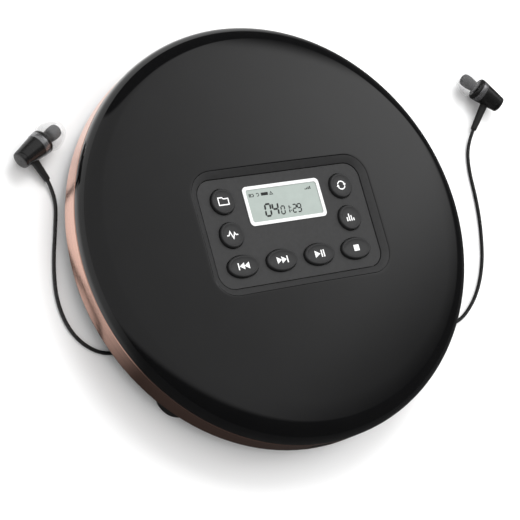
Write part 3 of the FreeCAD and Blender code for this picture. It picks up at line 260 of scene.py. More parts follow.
def graph_math(tree, operation, first, second):
    """Math node between two values, each a socket or a number."""
    node = tree.nodes.new("ShaderNodeMath")
    node.operation = operation
    for socket, given in zip(node.inputs, (first, second)):
        if isinstance(given, (int, float)):
            socket.default_value = given
        else:
            tree.links.new(given, socket)
    return node.outputs["Value"]


def facing(tree, direction, towards):
    """How much a direction points towards a vector."""
    node = tree.nodes.new("ShaderNodeVectorMath")
    node.operation = "DOT_PRODUCT"
    node.inputs[1].default_value = towards
    tree.links.new(direction, node.inputs[0])
    return node.outputs["Value"]


def card_and_shade_edge(tree, direction, card):
    """0 behind a dark card of the room's light and, on the floor, where its painted shade is full;
    1 past the soft edge. card is (plane, level of 0, level of 1).
    """
    plane, dark, light = card
    fade = tree.nodes.new("ShaderNodeMapRange")
    fade.interpolation_type = "SMOOTHSTEP"
    fade.inputs["From Min"].default_value = dark
    fade.inputs["From Max"].default_value = light
    tree.links.new(facing(tree, direction, plane), fade.inputs["Value"])
    return fade.outputs["Result"]


def add_floor():
    """White floor with painted shade that only shiny surfaces see: darker in front, to the right
    and further out.
    """
    bpy.ops.mesh.primitive_plane_add(size=FLOOR_SIZE, location=(0, 0, -FLOOR_DROP))
    floor = bpy.context.object
    floor.name = "floor"
    made, tree, shader = node_material("floor")
    tone = two_tone(tree, noise(tree, FLOOR_GRAIN), *FLOOR_TONES)
    tree.links.new(tone, shader.inputs["Base Color"])
    shader.inputs["Roughness"].default_value = FLOOR_ROUGH
    shader.inputs["Specular IOR Level"].default_value = 0.0
    place = tree.nodes.new("ShaderNodeTexCoord")
    outward = tree.nodes.new("ShaderNodeVectorMath")
    outward.operation = "NORMALIZE"
    tree.links.new(place.outputs["Object"], outward.inputs[0])
    shade = card_and_shade_edge(tree, outward.outputs["Vector"], FLOOR_PAINTED_SHADE)
    reach = tree.nodes.new("ShaderNodeVectorMath")
    reach.operation = "LENGTH"
    tree.links.new(place.outputs["Object"], reach.inputs[0])
    near = tree.nodes.new("ShaderNodeMapRange")
    near.inputs["From Min"].default_value = FLOOR_NEAR * MM
    near.inputs["From Max"].default_value = FLOOR_FAR * MM
    near.inputs["To Min"].default_value = 1.0
    near.inputs["To Max"].default_value = FLOOR_DIM
    tree.links.new(reach.outputs["Value"], near.inputs["Value"])
    shade = graph_math(tree, "MULTIPLY", shade, near.outputs["Result"])
    # painted shade: a dark floor that only reflections see, standing in for the shadow near the
    # body and for dark surroundings further out
    dark = tree.nodes.new("ShaderNodeBsdfDiffuse")
    dark.inputs["Color"].default_value = (CARD_AND_PAINTED_SHADE_SHARE, CARD_AND_PAINTED_SHADE_SHARE, CARD_AND_PAINTED_SHADE_SHARE, 1)
    rays = tree.nodes.new("ShaderNodeLightPath")
    painted_shade_share = graph_math(tree, "MULTIPLY", rays.outputs["Is Glossy Ray"],
                        graph_math(tree, "SUBTRACT", 1.0, shade))
    choose = tree.nodes.new("ShaderNodeMixShader")
    tree.links.new(painted_shade_share, choose.inputs["Fac"])
    tree.links.new(shader.outputs["BSDF"], choose.inputs[1])
    tree.links.new(dark.outputs["BSDF"], choose.inputs[2])
    tree.links.new(choose.outputs["Shader"], tree.nodes["Material Output"].inputs["Surface"])
    floor.data.materials.append(made)


def add_room():
    """White room, brighter to the right; shiny surfaces see a soft panel between dark cards."""
    world = bpy.data.worlds.new("room")
    world.use_nodes = True
    tree = world.node_tree
    even = tree.nodes["Background"]
    even.inputs["Color"].default_value = (1, 1, 1, 1)
    direction = tree.nodes.new("ShaderNodeTexCoord").outputs["Generated"]
    side = graph_math(tree, "MAXIMUM", facing(tree, direction, ROOM_DIRECTION), 0.0)
    side = graph_math(tree, "ADD", graph_math(tree, "MULTIPLY", side, ROOM_SIDE), ROOM_EVEN)
    tree.links.new(side, even.inputs["Strength"])
    centred = graph_math(tree, "MAXIMUM", facing(tree, direction, PANEL_DIRECTION), 0.0)
    glow = graph_math(tree, "POWER", centred, PANEL_FALL)
    glow = graph_math(tree, "MULTIPLY", glow, PANEL_BRIGHT)
    glow = graph_math(tree, "ADD", glow, PANEL_ROUND)
    glow = graph_math(tree, "MULTIPLY", glow, card_and_shade_edge(tree, direction, REAR_CARD))
    glow = graph_math(tree, "MULTIPLY", glow, card_and_shade_edge(tree, direction, FRONT_CARD))
    panel = tree.nodes.new("ShaderNodeBackground")
    tree.links.new(graph_math(tree, "ADD", glow, CARD_AND_PAINTED_SHADE_SHARE), panel.inputs["Strength"])
    rays = tree.nodes.new("ShaderNodeLightPath")
    choose = tree.nodes.new("ShaderNodeMixShader")
    tree.links.new(rays.outputs["Is Glossy Ray"], choose.inputs["Fac"])
    tree.links.new(even.outputs["Background"], choose.inputs[1])
    tree.links.new(panel.outputs["Background"], choose.inputs[2])
    tree.links.new(choose.outputs["Shader"], tree.nodes["World Output"].inputs["Surface"])
    scene.world = world


def add_stage():
    """Floor, room and two soft lights, with no film look over the colours."""
    add_floor()
    add_room()
    for lamp in LAMPS:
        add_lamp(*lamp)
    scene.view_settings.view_transform = "Standard"


def add_lamp(name, spot, size, power):
    """Soft square light aimed at the player, not seen in reflections."""
    data = bpy.data.lights.new(name, "AREA")
    data.size = size
    data.energy = power
    light = bpy.data.objects.new(name, data)
    light.location = spot
    light.rotation_mode = "QUATERNION"
    light.rotation_quaternion = spot.to_track_quat("Z", "Y")
    light.visible_glossy = False
    scene.collection.objects.link(light)


# ---------------------------------------------------------------- mesh helpers
SHARP_ANGLE = math.radians(32)
MERGE_DISTANCE = 1e-4
MITRE_LIMIT = 0.4
# how far a printed or moulded mark is sunk into the surface that it stands on
SINK = 0.02


def finish_piece(name, mesh, material, body, replaced=(), place=None):
    """Object from a bmesh in millimetres, with shading, material and body."""
    bmesh.ops.recalc_face_normals(mesh, faces=mesh.faces)
    if place is not None:
        mesh.transform(place)
    mesh.transform(Matrix.Scale(MM, 4))
    data = bpy.data.meshes.new(name)
    mesh.to_mesh(data)
    mesh.free()
    data.shade_smooth()
    data.set_sharp_from_angle(angle=SHARP_ANGLE)
    data.materials.append(MATERIALS[material])
    piece = bpy.data.objects.new(name, data)
    scene.collection.objects.link(piece)
    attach(piece, body)
    if replaced:
        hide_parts(*replaced)
    return piece


def bridge(mesh, loops, closed=False):
    """Quads between loops of points with the same count; closed joins the last to the first."""
    rings = [[mesh.verts.new(point) for point in loop] for loop in loops]
    following = rings[1:] + ([rings[0]] if closed else [])
    for lower, upper in zip(rings, following):
        for place in range(len(lower)):
            after = (place + 1) % len(lower)
            mesh.faces.new((lower[place], lower[after], upper[after], upper[place]))
    return rings


def lathe(profile, steps=64, closed=False):
    """Bmesh of (radius, height) points turned about Z; a radius of 0 closes an end."""
    mesh = bmesh.new()
    loops = []
    for radius, height in profile:
        if radius > 0:
            loops.append([(radius * math.cos(FULL_TURN * step / steps),
                           radius * math.sin(FULL_TURN * step / steps), height)
                          for step in range(steps)])
    rings = bridge(mesh, loops, closed)
    for (radius, height), ring in ((profile[0], rings[0]), (profile[-1], rings[-1])):
        if radius == 0:
            tip = mesh.verts.new((0, 0, height))
            for place in range(steps):
                mesh.faces.new((ring[place], ring[(place + 1) % steps], tip))
    return mesh


def join(first, second, place=None):
    """Add the second bmesh to the first, moved by place."""
    if place is not None:
        second.transform(place)
    data = bpy.data.meshes.new("joined")
    second.to_mesh(data)
    second.free()
    first.from_mesh(data)
    bpy.data.meshes.remove(data)
    return first


def raised(polygons, low, high):
    """Bmesh of flat polygons, each a list of (across, up), raised between two heights."""
    mesh = bmesh.new()
    for polygon in polygons:
        mesh.faces.new([mesh.verts.new((across, up, low)) for across, up in polygon])
    bmesh.ops.remove_doubles(mesh, verts=mesh.verts, dist=MERGE_DISTANCE)
    grown = bmesh.ops.extrude_face_region(mesh, geom=mesh.faces[:], use_keep_orig=True)
    tops = [item for item in grown["geom"] if isinstance(item, bmesh.types.BMVert)]
    bmesh.ops.translate(mesh, vec=(0, 0, high - low), verts=tops)
    return mesh


def extruded(profile, half, chamfer=0.25):
    """Bmesh of a (y, z) outline drawn out along X to half either side, with chamfered ends."""
    middle = sum((Vector(point) for point in profile), Vector((0, 0))) / len(profile)
    loops = []
    for across, inset in ((-half, chamfer), (-half + chamfer, 0), (half - chamfer, 0),
                          (half, chamfer)):
        loop = []
        for point in profile:
            towards = Vector(point) - middle
            drawn = middle + towards * (1 - inset / max(towards.length, chamfer * 2))
            loop.append((across, drawn.x, drawn.y))
        loops.append(loop)
    mesh = bmesh.new()
    rings = bridge(mesh, loops)
    mesh.faces.new(rings[0])
    mesh.faces.new(rings[-1])
    return mesh


# ---------------------------------------------------------------- flat shapes for legends
def bar(left, low, right, high):
    """Rectangle between two corners."""
    return [(left, low), (right, low), (right, high), (left, high)]


def arrow(point, base, half):
    """Triangle that points along X, from its base to its point."""
    return [(base, -half), (point, 0), (base, half)]


def stroke(points, width, closed=False):
    """Quads along a line of points, mitred at the corners."""
    line = [Vector(point) for point in points]
    count = len(line)
    sides = []
    for place, point in enumerate(line):
        before = line[place - 1] if closed or place > 0 else None
        after = line[(place + 1) % count] if closed or place < count - 1 else None
        way_in = (point - before if before is not None else after - point).normalized()
        way_out = (after - point).normalized() if after is not None else way_in
        along = (way_in + way_out).normalized()
        across = Vector((-along.y, along.x))
        reach = width / 2 / max(MITRE_LIMIT, along.dot(way_out))
        sides.append((tuple(point + across * reach), tuple(point - across * reach)))
    ends = count if closed else count - 1
    return [[sides[place][0], sides[(place + 1) % count][0], sides[(place + 1) % count][1],
             sides[place][1]] for place in range(ends)]


def arc_points(radius, start, end, steps, middle=(0, 0)):
    """Points of an arc between two angles in degrees."""
    points = []
    for step in range(steps + 1):
        angle = math.radians(start + (end - start) * step / steps)
        points.append((middle[0] + radius * math.cos(angle), middle[1] + radius * math.sin(angle)))
    return points


def moved(polygons, across, up, scale=1.0, lean=0.0):
    """Polygons scaled, sheared to the right by lean, and moved."""
    return [[(across + scale * (x + lean * y), up + scale * y) for x, y in polygon]
            for polygon in polygons]


# ---------------------------------------------------------------- lid
plate_low, plate_high = box_mm("control_panel")
PLATE_LONG = plate_high.x - plate_low.x
PLATE_WIDE = plate_high.y - plate_low.y
PLATE_TOP = plate_high.z
PLATE_CORNER = 5.2
PANEL_MIDDLE = (plate_low.y + plate_high.y) / 2
LID_RADIUS = box_mm("lid_shell")[1].x
LID_CORNER = 7.0
LID_WALL = 1.6
LID_LOW = 14.15
SHOULDER = 15.3
DOME_RADIUS = 602.0
BEVEL_REACH = 2.6
BEVEL_START = 0.25
BEVEL_LIP = 0.08
SEAT_GAP = 0.28
EDGE_LIP = 0.3
LEDGE_WIDTH = 1.4
LEDGE_TOP = plate_low.z
LEDGE_LOW = 20.6
CORNER_STEPS = 20
SIDE_STEPS = (72, 40)


def dome_height(radius, inset=0.0):
    """Height of the lid's surface at a radius, inset inwards from its outside."""
    ring = LID_RADIUS - LID_CORNER
    reach = DOME_RADIUS - LID_CORNER
    bend = LID_CORNER - inset
    if radius > ring * (1 + bend / reach):
        return SHOULDER + math.sqrt(max(bend ** 2 - (radius - ring) ** 2, 0))
    middle = SHOULDER - math.sqrt(reach ** 2 - ring ** 2)
    return middle + math.sqrt((DOME_RADIUS - inset) ** 2 - radius ** 2)


def panel_edge():
    """Points round the panel's edge, each with its outward direction."""
    across = PLATE_LONG / 2 - PLATE_CORNER
    up = PLATE_WIDE / 2 - PLATE_CORNER
    centres = [Vector((across, up)), Vector((-across, up)), Vector((-across, -up)),
               Vector((across, -up))]
    rim = []
    for quarter, centre in enumerate(centres):
        centre = centre + Vector((0, PANEL_MIDDLE))
        for step in range(CORNER_STEPS + 1):
            angle = math.pi / 2 * (quarter + step / CORNER_STEPS)
            outward = Vector((math.cos(angle), math.sin(angle)))
            rim.append((centre + outward * PLATE_CORNER, outward))
        start, outward = rim[-1]
        following = centres[(quarter + 1) % 4] + Vector((0, PANEL_MIDDLE)) + outward * PLATE_CORNER
        count = SIDE_STEPS[quarter % 2]
        for step in range(1, count):
            rim.append((start.lerp(following, step / count), outward))
    return rim


def soft_lower(first, second, blend):
    """The lower of two heights, rounded where they are close."""
    nearness = max(blend - abs(first - second), 0) / blend
    return min(first, second) - nearness ** 2 * blend / 4


EDGE_STEPS = (-0.36, -0.24, -0.12, 0.0, 0.12, 0.24, 0.36)
EDGE_BLEND = 0.26
FACE_STEPS = (0.03, 0.08, 0.16, 0.28, 0.42, 0.57, 0.72, 0.86)
INSIDE_STEPS = (1.0, 0.66, 0.33)
ROUND_STEPS = 16


def lid_cover():
    """The whole lid as one closed skin: bevelled recess, dome, rounded edge, inside and ledge."""
    rim = panel_edge()
    loops = []

    def parallel(grow, height):
        """Loop along the panel's edge, grown outwards."""
        loops.append([(*(point + outward * grow), height) for point, outward in rim])

    def towards_ring(share, starts, inset):
        """Loop a share of the way from starts to the ring where the round edge begins."""
        ring = (LID_RADIUS - LID_CORNER) * (1 + (LID_CORNER - inset) / (DOME_RADIUS - LID_CORNER))
        loop = []
        for start in starts:
            spot = start.lerp(start.normalized() * ring, share)
            loop.append((*spot, dome_height(spot.length, inset)))
        loops.append(loop)

    def around(radius, height):
        """Circle about the lid's middle."""
        loops.append([(*(point.normalized() * radius), height) for point, _ in rim])

    parallel(SEAT_GAP, LEDGE_TOP)
    parallel(SEAT_GAP, PLATE_TOP + BEVEL_START - BEVEL_LIP)
    parallel(SEAT_GAP + BEVEL_LIP, PLATE_TOP + BEVEL_START)
    for step in EDGE_STEPS:
        loop = []
        for point, outward in rim:
            spot = point + outward * (BEVEL_REACH + step)
            crest = dome_height((point + outward * BEVEL_REACH).length) - PLATE_TOP - BEVEL_START
            share = (BEVEL_REACH + step - SEAT_GAP) / (BEVEL_REACH - SEAT_GAP)
            slope = PLATE_TOP + BEVEL_START + crest * share
            loop.append((*spot, soft_lower(slope, dome_height(spot.length), EDGE_BLEND)))
        loops.append(loop)
    # two rows of faces lead up to the first of the edge's loops
    bevel_faces = len(rim) * (2 + EDGE_STEPS.index(0.0))
    starts = [point + outward * (BEVEL_REACH + EDGE_STEPS[-1]) for point, outward in rim]
    for share in FACE_STEPS:
        towards_ring(share, starts, 0.0)
    towards_ring(1.0, starts, 0.0)
    ring = LID_RADIUS - LID_CORNER
    top_angle = math.asin(ring / (DOME_RADIUS - LID_CORNER))
    for step in range(1, ROUND_STEPS + 1):
        tilt = top_angle + (math.pi / 2 - top_angle) * step / ROUND_STEPS
        around(ring + LID_CORNER * math.sin(tilt), SHOULDER + LID_CORNER * math.cos(tilt))
    around(LID_RADIUS, LID_LOW + EDGE_LIP)
    around(LID_RADIUS - EDGE_LIP, LID_LOW)
    around(LID_RADIUS - LID_WALL, LID_LOW)
    for step in range(ROUND_STEPS, 0, -2):
        tilt = top_angle + (math.pi / 2 - top_angle) * step / ROUND_STEPS
        bend = LID_CORNER - LID_WALL
        around(ring + bend * math.sin(tilt), SHOULDER + bend * math.cos(tilt))
    inner = [point + outward * LID_WALL for point, outward in rim]
    for share in INSIDE_STEPS:
        towards_ring(share, inner, LID_WALL)
    loops.append([(*spot, dome_height(spot.length, LID_WALL)) for spot in inner])
    parallel(LID_WALL, LEDGE_LOW)
    parallel(-LEDGE_WIDTH, LEDGE_LOW)
    parallel(-LEDGE_WIDTH, LEDGE_TOP)
    mesh = bmesh.new()
    bridge(mesh, loops, closed=True)
    mesh.faces.ensure_lookup_table()
    for face in mesh.faces[:bevel_faces]:
        face.material_index = 1
    cover = finish_piece("lid_cover", mesh, "gloss_black", "lid", ("lid_shell",))
    cover.data.materials.append(MATERIALS["panel_black"])


HINGE_REACH = 66.2
HINGE_HEIGHT = 11.2
BARREL_RADIUS = 2.0
BARREL_HALF = 11.6
BARREL_STEPS = 16
ARM_UNDERSIDE = (13.4, 13.9)
ARM_BACK = 68.3
ARM_HIGH = 15.6
HOOK_HALF = 3.6
HOOK_CHAMFER = 0.2
# the hook's outline as (y, z)
HOOK_PROFILE = [(-66.6, 8.2), (-65.0, 8.2), (-64.5, 8.7), (-64.5, 9.3), (-65.4, 9.9),
                (-65.4, 16.4), (-68.2, 16.4), (-68.2, 15.0), (-66.6, 14.2)]


def lid_fittings():
    """Hinge barrel with its arm at the back, and the latch hook at the front."""
    near, far = ARM_UNDERSIDE
    barrel = arc_points(BARREL_RADIUS, 180, 360, BARREL_STEPS, (HINGE_REACH, HINGE_HEIGHT))
    arm = barrel + [(HINGE_REACH + BARREL_RADIUS, near), (ARM_BACK, far), (ARM_BACK, ARM_HIGH),
                    (HINGE_REACH - BARREL_RADIUS, ARM_HIGH)]
    finish_piece("lid_hinge_arm", extruded(arm, BARREL_HALF), "black_plastic", "lid")
    hook = extruded(HOOK_PROFILE, HOOK_HALF, HOOK_CHAMFER)
    finish_piece("lid_hook", hook, "black_plastic", "lid")


# ---------------------------------------------------------------- keys and their legends
KEY_TOP = box_mm("button_stop")[1].z
DISH_DEPTH = 0.22
LEGEND_RISE = 0.03
LEGEND_SCALE = 1.18
LEGEND_LINE = 0.3
KEY_STEPS = 72
FLANGE_WIDE = 0.6
FLANGE_TALL = 0.45
KEY_ROUND = 0.45
ROUND_TURNS = (math.pi / 10, math.pi / 5, math.pi / 3.33, math.pi / 2.5, math.pi / 2)
# the dished top, as distances inwards from the cap's outline and down from its top
DISH_PROFILE = [(0.62, 0.02), (0.85, 0.10), (1.25, 0.17), (1.9, DISH_DEPTH)]


def key_cap(long, short, low):
    """Cap with an elliptical outline, a rounded shoulder and a slightly dished top."""
    profile = [(-FLANGE_WIDE, low), (-FLANGE_WIDE, low + FLANGE_TALL), (0.0, low + FLANGE_TALL),
               (0.0, KEY_TOP - KEY_ROUND)]
    profile += [(KEY_ROUND - KEY_ROUND * math.cos(turn),
                 KEY_TOP - KEY_ROUND + KEY_ROUND * math.sin(turn)) for turn in ROUND_TURNS]
    profile += [(inset, KEY_TOP - drop) for inset, drop in DISH_PROFILE]
    loops = []
    for inset, height in profile:
        loops.append([((long - inset) * math.cos(FULL_TURN * step / KEY_STEPS),
                       (short - inset) * math.sin(FULL_TURN * step / KEY_STEPS), height)
                      for step in range(KEY_STEPS)])
    mesh = bmesh.new()
    rings = bridge(mesh, loops)
    for ring, height in ((rings[0], low), (rings[-1], KEY_TOP - DISH_DEPTH)):
        middle = mesh.verts.new((0, 0, height))
        for place in range(KEY_STEPS):
            mesh.faces.new((ring[place], ring[(place + 1) % KEY_STEPS], middle))
    return mesh


# each legend as flat polygons about its key's middle
PREVIOUS = [bar(-1.75, -0.95, -1.40, 0.95), arrow(-1.30, 0.20, 0.95), arrow(0.20, 1.70, 0.95)]
NEXT = [[(-x, y) for x, y in polygon] for polygon in PREVIOUS]
PLAY_PAUSE = [arrow(0.05, -1.60, 1.0), bar(0.35, -1.0, 0.72, 1.0), bar(1.08, -1.0, 1.45, 1.0)]
STOP = [bar(-0.85, -0.85, 0.85, 0.85)]
FOLDER = stroke([(-1.5, -1.0), (1.5, -1.0), (1.5, 0.65), (0.1, 0.65), (-0.3, 1.05),
                 (-1.5, 1.05)], LEGEND_LINE, closed=True)
PULSE = stroke([(-1.7, -0.1), (-1.1, -0.1), (-0.6, 0.9), (0.1, -1.0), (0.7, 0.5), (1.05, -0.1),
                (1.7, -0.1)], LEGEND_LINE)
CYCLE = stroke(arc_points(1.15, 20, 160, 10), LEGEND_LINE)
CYCLE += stroke(arc_points(1.15, 200, 340, 10), LEGEND_LINE)
CYCLE += [[(side * x, side * y) for x, y in ((0.62, 0.35), (1.56, 0.35), (1.09, -0.35))]
          for side in (1, -1)]
LEVELS = [bar(left, -1.05, left + 0.36, high)
          for left, high in ((-1.3, 0.1), (-0.6, 1.05), (0.1, 0.5), (0.8, -0.25))]
LEGENDS = {
    "previous": PREVIOUS, "next": NEXT, "play_pause": PLAY_PAUSE, "stop": STOP,
    "folder": FOLDER, "antiskip": PULSE, "mode": CYCLE, "sound": LEVELS,
}


def keys():
    """Eight keys of the panel, each with a white legend on it."""
    for name, legend in LEGENDS.items():
        legend = moved(legend, 0, 0, LEGEND_SCALE)
        node = "button_" + name
        low, high = box_mm(node)
        middle = (low + high) / 2
        place = Matrix.Translation((middle.x, middle.y, 0))
        cap = key_cap((high.x - low.x) / 2 - FLANGE_WIDE, (high.y - low.y) / 2 - FLANGE_WIDE,
                      low.z)
        finish_piece("cap_" + name, cap, "key_black", "key_" + name, (node,), place)
        floor = KEY_TOP - DISH_DEPTH
        print_mesh = raised(legend, floor - SINK, floor + LEGEND_RISE)
        finish_piece("legend_" + name, print_mesh, "print_white", "key_" + name,
                     (), place)


# ---------------------------------------------------------------- display
window_low, window_high = box_mm("lcd_window")
WINDOW_TOP = window_high.z
DIGIT_WIDE = 1.0
DIGIT_TALL = 2.0
SEGMENT = 0.32
SEGMENT_GAP = 0.04
DIGIT_LEAN = 0.10
# digits from the window's lower left corner: text, first place across, pitch and scale
DIGIT_ROWS = [("04", 5.3, 2.75, 1.95), ("01", 11.1, 1.75, 1.3), ("29", 15.5, 1.75, 1.3)]
DIGIT_LOW = 1.5
COLON_SPOTS = [(14.75, 2.1), (14.75, 3.1)]
COLON_SIZE = (0.3, 0.35)
# small signs along the window's top: their distance down from it, their shapes, and places across
SIGNS_DOWN = 2.3
SIGN_LINE = 0.2
SIGN_BOLD = 0.22
CELL = stroke([(0, 0), (1.5, 0), (1.5, 0.85), (0, 0.85)], SIGN_LINE, closed=True)
CELL += [bar(0.2, 0.2, 0.65, 0.65), bar(1.58, 0.25, 1.75, 0.6)]
LOOP = stroke(arc_points(0.5, -120, 150, 8, (0.5, 0.45)), SIGN_BOLD)
TAG = [bar(0, -0.05, 2.6, 0.95)]
PEAK = stroke([(0, 0), (0.55, 0.9), (1.1, 0)], SIGN_BOLD, closed=True)
SIGNS = [(CELL, 1.0), (LOOP, 3.6), (TAG, 5.4), (PEAK, 8.6)]
# bars of rising height: count, first one's distance from the right, pitch, width, height, growth
BARS = (4, 4.6, 0.62, 0.38, 0.35, 0.22)
# which of the seven segments each digit lights, from the top one clockwise, the middle one last
DIGITS = {"0": (0, 1, 2, 3, 4, 5), "1": (1, 2), "2": (0, 1, 6, 4, 3), "4": (5, 6, 1, 2),
          "9": (0, 1, 2, 3, 5, 6)}


def segment(start, end):
    """Six-sided stroke between two corners of a digit, a little short at both ends."""
    start, end = Vector(start), Vector(end)
    along = (end - start).normalized()
    across = Vector((-along.y, along.x)) * SEGMENT / 2
    start = start + along * SEGMENT_GAP
    end = end - along * SEGMENT_GAP
    near = start + along * SEGMENT / 2
    far = end - along * SEGMENT / 2
    return [tuple(spot) for spot in (start, near - across, far - across, end, far + across,
                                     near + across)]


def digit(sign):
    """Seven-segment digit with its lower left corner at the origin."""
    half = DIGIT_TALL / 2
    corners = [((0, DIGIT_TALL), (DIGIT_WIDE, DIGIT_TALL)),
               ((DIGIT_WIDE, DIGIT_TALL), (DIGIT_WIDE, half)),
               ((DIGIT_WIDE, half), (DIGIT_WIDE, 0)), ((0, 0), (DIGIT_WIDE, 0)),
               ((0, half), (0, 0)), ((0, DIGIT_TALL), (0, half)), ((0, half), (DIGIT_WIDE, half))]
    return [segment(*corners[place]) for place in DIGITS[sign]]


def display_marks():
    """Track number, playing time and small signs on the display."""
    left, low = window_low.x, window_low.y
    marks = []
    for text, across, pitch, scale in DIGIT_ROWS:
        for place, sign in enumerate(text):
            marks += moved(digit(sign), left + across + pitch * place, low + DIGIT_LOW, scale,
                           DIGIT_LEAN)
    for across, up in COLON_SPOTS:
        marks += moved([bar(0, 0, *COLON_SIZE)], left + across, low + up)
    top = window_high.y - SIGNS_DOWN
    for shapes, across in SIGNS:
        marks += moved(shapes, left + across, top)
    count, start, pitch, wide, tall, growth = BARS
    for step in range(count):
        across = window_high.x - start + pitch * step
        marks.append(bar(across, top, across + wide, top + tall + growth * step))
    finish_piece("display_marks", raised(marks, WINDOW_TOP - SINK, WINDOW_TOP + SINK), "segments",
                 "lid")


# ---------------------------------------------------------------- screws and small trim
HEAD_RISE = 0.45
# the head's outline and its cross of painted shade, in shares of the radius and of the rise
HEAD_PROFILE = [(0, 0), (1, 0), (1, 0.35), (0.86, 0.8), (0.5, 1), (0, 1)]
CROSS_REACH = 0.62
CROSS_WIDE = 0.14
CROSS_DEEP = 0.6
HEAD_STEPS = 32
# each cross is turned by this many times the angle of its screw's place
CROSS_TWIST = 3
# reach and angle of each screw, with the head's radius and the height of its seat
BASE_SCREWS = ([(52, 0), (52, 90), (52, 180), (52, 270)], 2.0, 4.5)
DECK_SCREWS = ([(55, 20), (55, 160), (55, 200), (55, 340)], 1.6, 12.8)


def screw_head(radius):
    """Pan head with a dark cross of painted shade where the recess would be, its seat at height 0
    and its top downwards.
    """
    head = lathe([(radius * out, -HEAD_RISE * down) for out, down in HEAD_PROFILE], HEAD_STEPS)
    arm = radius * CROSS_REACH
    wide = radius * CROSS_WIDE
    cross = [bar(-arm, -wide, arm, wide), bar(-wide, wide, wide, arm),
             bar(-wide, -arm, wide, -wide)]
    return head, raised(cross, -HEAD_RISE - SINK, -HEAD_RISE * CROSS_DEEP)


def screws(name, spots, radius, height, body, upward):
    """Row of steel screws, each with a cross of painted shade for its recess, at (radius, angle)
    spots.
    """
    heads = bmesh.new()
    cross_shades = bmesh.new()
    for reach, angle in spots:
        turn = math.radians(angle)
        place = Matrix.Translation((reach * math.cos(turn), reach * math.sin(turn), height))
        place = place @ Matrix.Rotation(math.pi if upward else 0, 4, "X")
        place = place @ Matrix.Rotation(turn * CROSS_TWIST, 4, "Z")
        head, cross = screw_head(radius)
        join(heads, head, place)
        join(cross_shades, cross, place)
    finish_piece(name, heads, "steel", body)
    # painted shade: the dark crosses are rubber solids set into the heads, standing in for the
    # shade in their recesses
    finish_piece(name + "_slot_shade", cross_shades, "rubber", body)


def side_place(angle, reach, height):
    """Place on the body's side: local Z outwards, local Y upwards."""
    turn = math.radians(angle)
    outward = Vector((math.cos(turn), math.sin(turn), 0))
    upward = Vector((0, 0, 1))
    across = upward.cross(outward)
    spot = outward * reach
    return Matrix(((across.x, upward.x, outward.x, spot.x), (across.y, upward.y, outward.y, spot.y),
                   (across.z, upward.z, outward.z, height), (0, 0, 0, 1)))


SOCKET_HEIGHT = 8.55
SOCKET_RING = [(1.85, 0.0), (2.25, 0.0), (2.3, 0.1), (2.3, 0.22), (2.15, 0.32), (1.95, 0.32),
               (1.85, 0.22)]
SOCKET_STEPS = 40
RING_REACH = 69.88
LINE_OUT_ANGLE = -16
MINUS = [bar(-0.8, -0.16, 0.8, 0.16)]
PLUS = MINUS + [bar(-0.16, 0.16, 0.16, 0.8), bar(-0.16, -0.8, 0.16, -0.16)]
# raised marks: name, material, body, slot, flat shapes, low, high, angle, reach and height
SIDE_MARKS = [
    ("sign_plus", "print_white", "volume_up", "white_plastic", PLUS,
     -0.05, 0.08, 24, 70.5, SOCKET_HEIGHT),
    ("sign_minus", "print_white", "volume_down", "white_plastic", MINUS,
     -0.05, 0.08, 32, 70.5, SOCKET_HEIGHT),
    ("hold_ribs", "black_plastic", "hold", "black_plastic",
     [bar(across, -1.0, across + 0.3, 1.0) for across in (-2.4, -1.8, -1.2, -0.6)],
     -0.1, 0.18, 44, 71.3, SOCKET_HEIGHT),
    ("open_button_ribs", "black_plastic", "latch", "black_plastic",
     [bar(across, -1.5, across + 0.35, 1.5) for across in (-1.6, -0.9, -0.2, 0.5, 1.2)],
     -0.3, 0.12, -90, 69.9, 10.1),
]


def side_trim():
    """Rings in the two round sockets, signs on the volume buttons, ribs on knob and button."""
    for name, angle in (("headphone_ring", 0), ("line_out_ring", LINE_OUT_ANGLE)):
        ring = lathe(SOCKET_RING, SOCKET_STEPS, closed=True)
        finish_piece(name, ring, "steel", "base", (),
                     side_place(angle, RING_REACH, SOCKET_HEIGHT))
    for name, material, body, slot, shapes, low, high, angle, reach, height in SIDE_MARKS:
        finish_piece(name, raised(shapes, low, high), material, body, (),
                     side_place(angle, reach, height))


DISC_SEAT = 14.6
SEAT_STEPS = 96
# outlines as (radius, height): the ring above the disc's seat, and the cap above the hub's top
SEAT_RING = [(12.4, 0), (16.0, 0), (16.1, 0.08), (15.9, 0.16), (12.6, 0.16), (12.4, 0.08)]
HUB_CAP = [(0, -0.1), (4.4, -0.1), (4.6, 0), (4.4, 0.14), (1.4, 0.2), (1.2, 0.05), (0, 0.05)]
BALL_ANGLES = (90, 210, 330)
BALL_REACH = 6.75
BALL_RISE = 1.5
BALL_RADIUS = 0.95
BALL_STEPS = (24, 16)


def lifted(profile, height):
    """Outline of (radius, height) points moved up."""
    return [(radius, height + up) for radius, up in profile]


def turntable_trim():
    """Soft seat ring, three steel balls and a cap on the turntable."""
    pad = lathe(lifted(SEAT_RING, DISC_SEAT), SEAT_STEPS, closed=True)
    finish_piece("seat_ring", pad, "rubber", "turntable")
    cap = lathe(lifted(HUB_CAP, box_mm("turntable")[1].z))
    finish_piece("hub_cap", cap, "steel", "turntable")
    balls = bmesh.new()
    for angle in BALL_ANGLES:
        turn = math.radians(angle)
        place = Matrix.Translation((BALL_REACH * math.cos(turn), BALL_REACH * math.sin(turn),
                                    DISC_SEAT + BALL_RISE))
        sphere = bmesh.new()
        bmesh.ops.create_uvsphere(sphere, u_segments=BALL_STEPS[0], v_segments=BALL_STEPS[1],
                                  radius=BALL_RADIUS)
        join(balls, sphere, place)
    finish_piece("hub_balls", balls, "steel", "turntable")


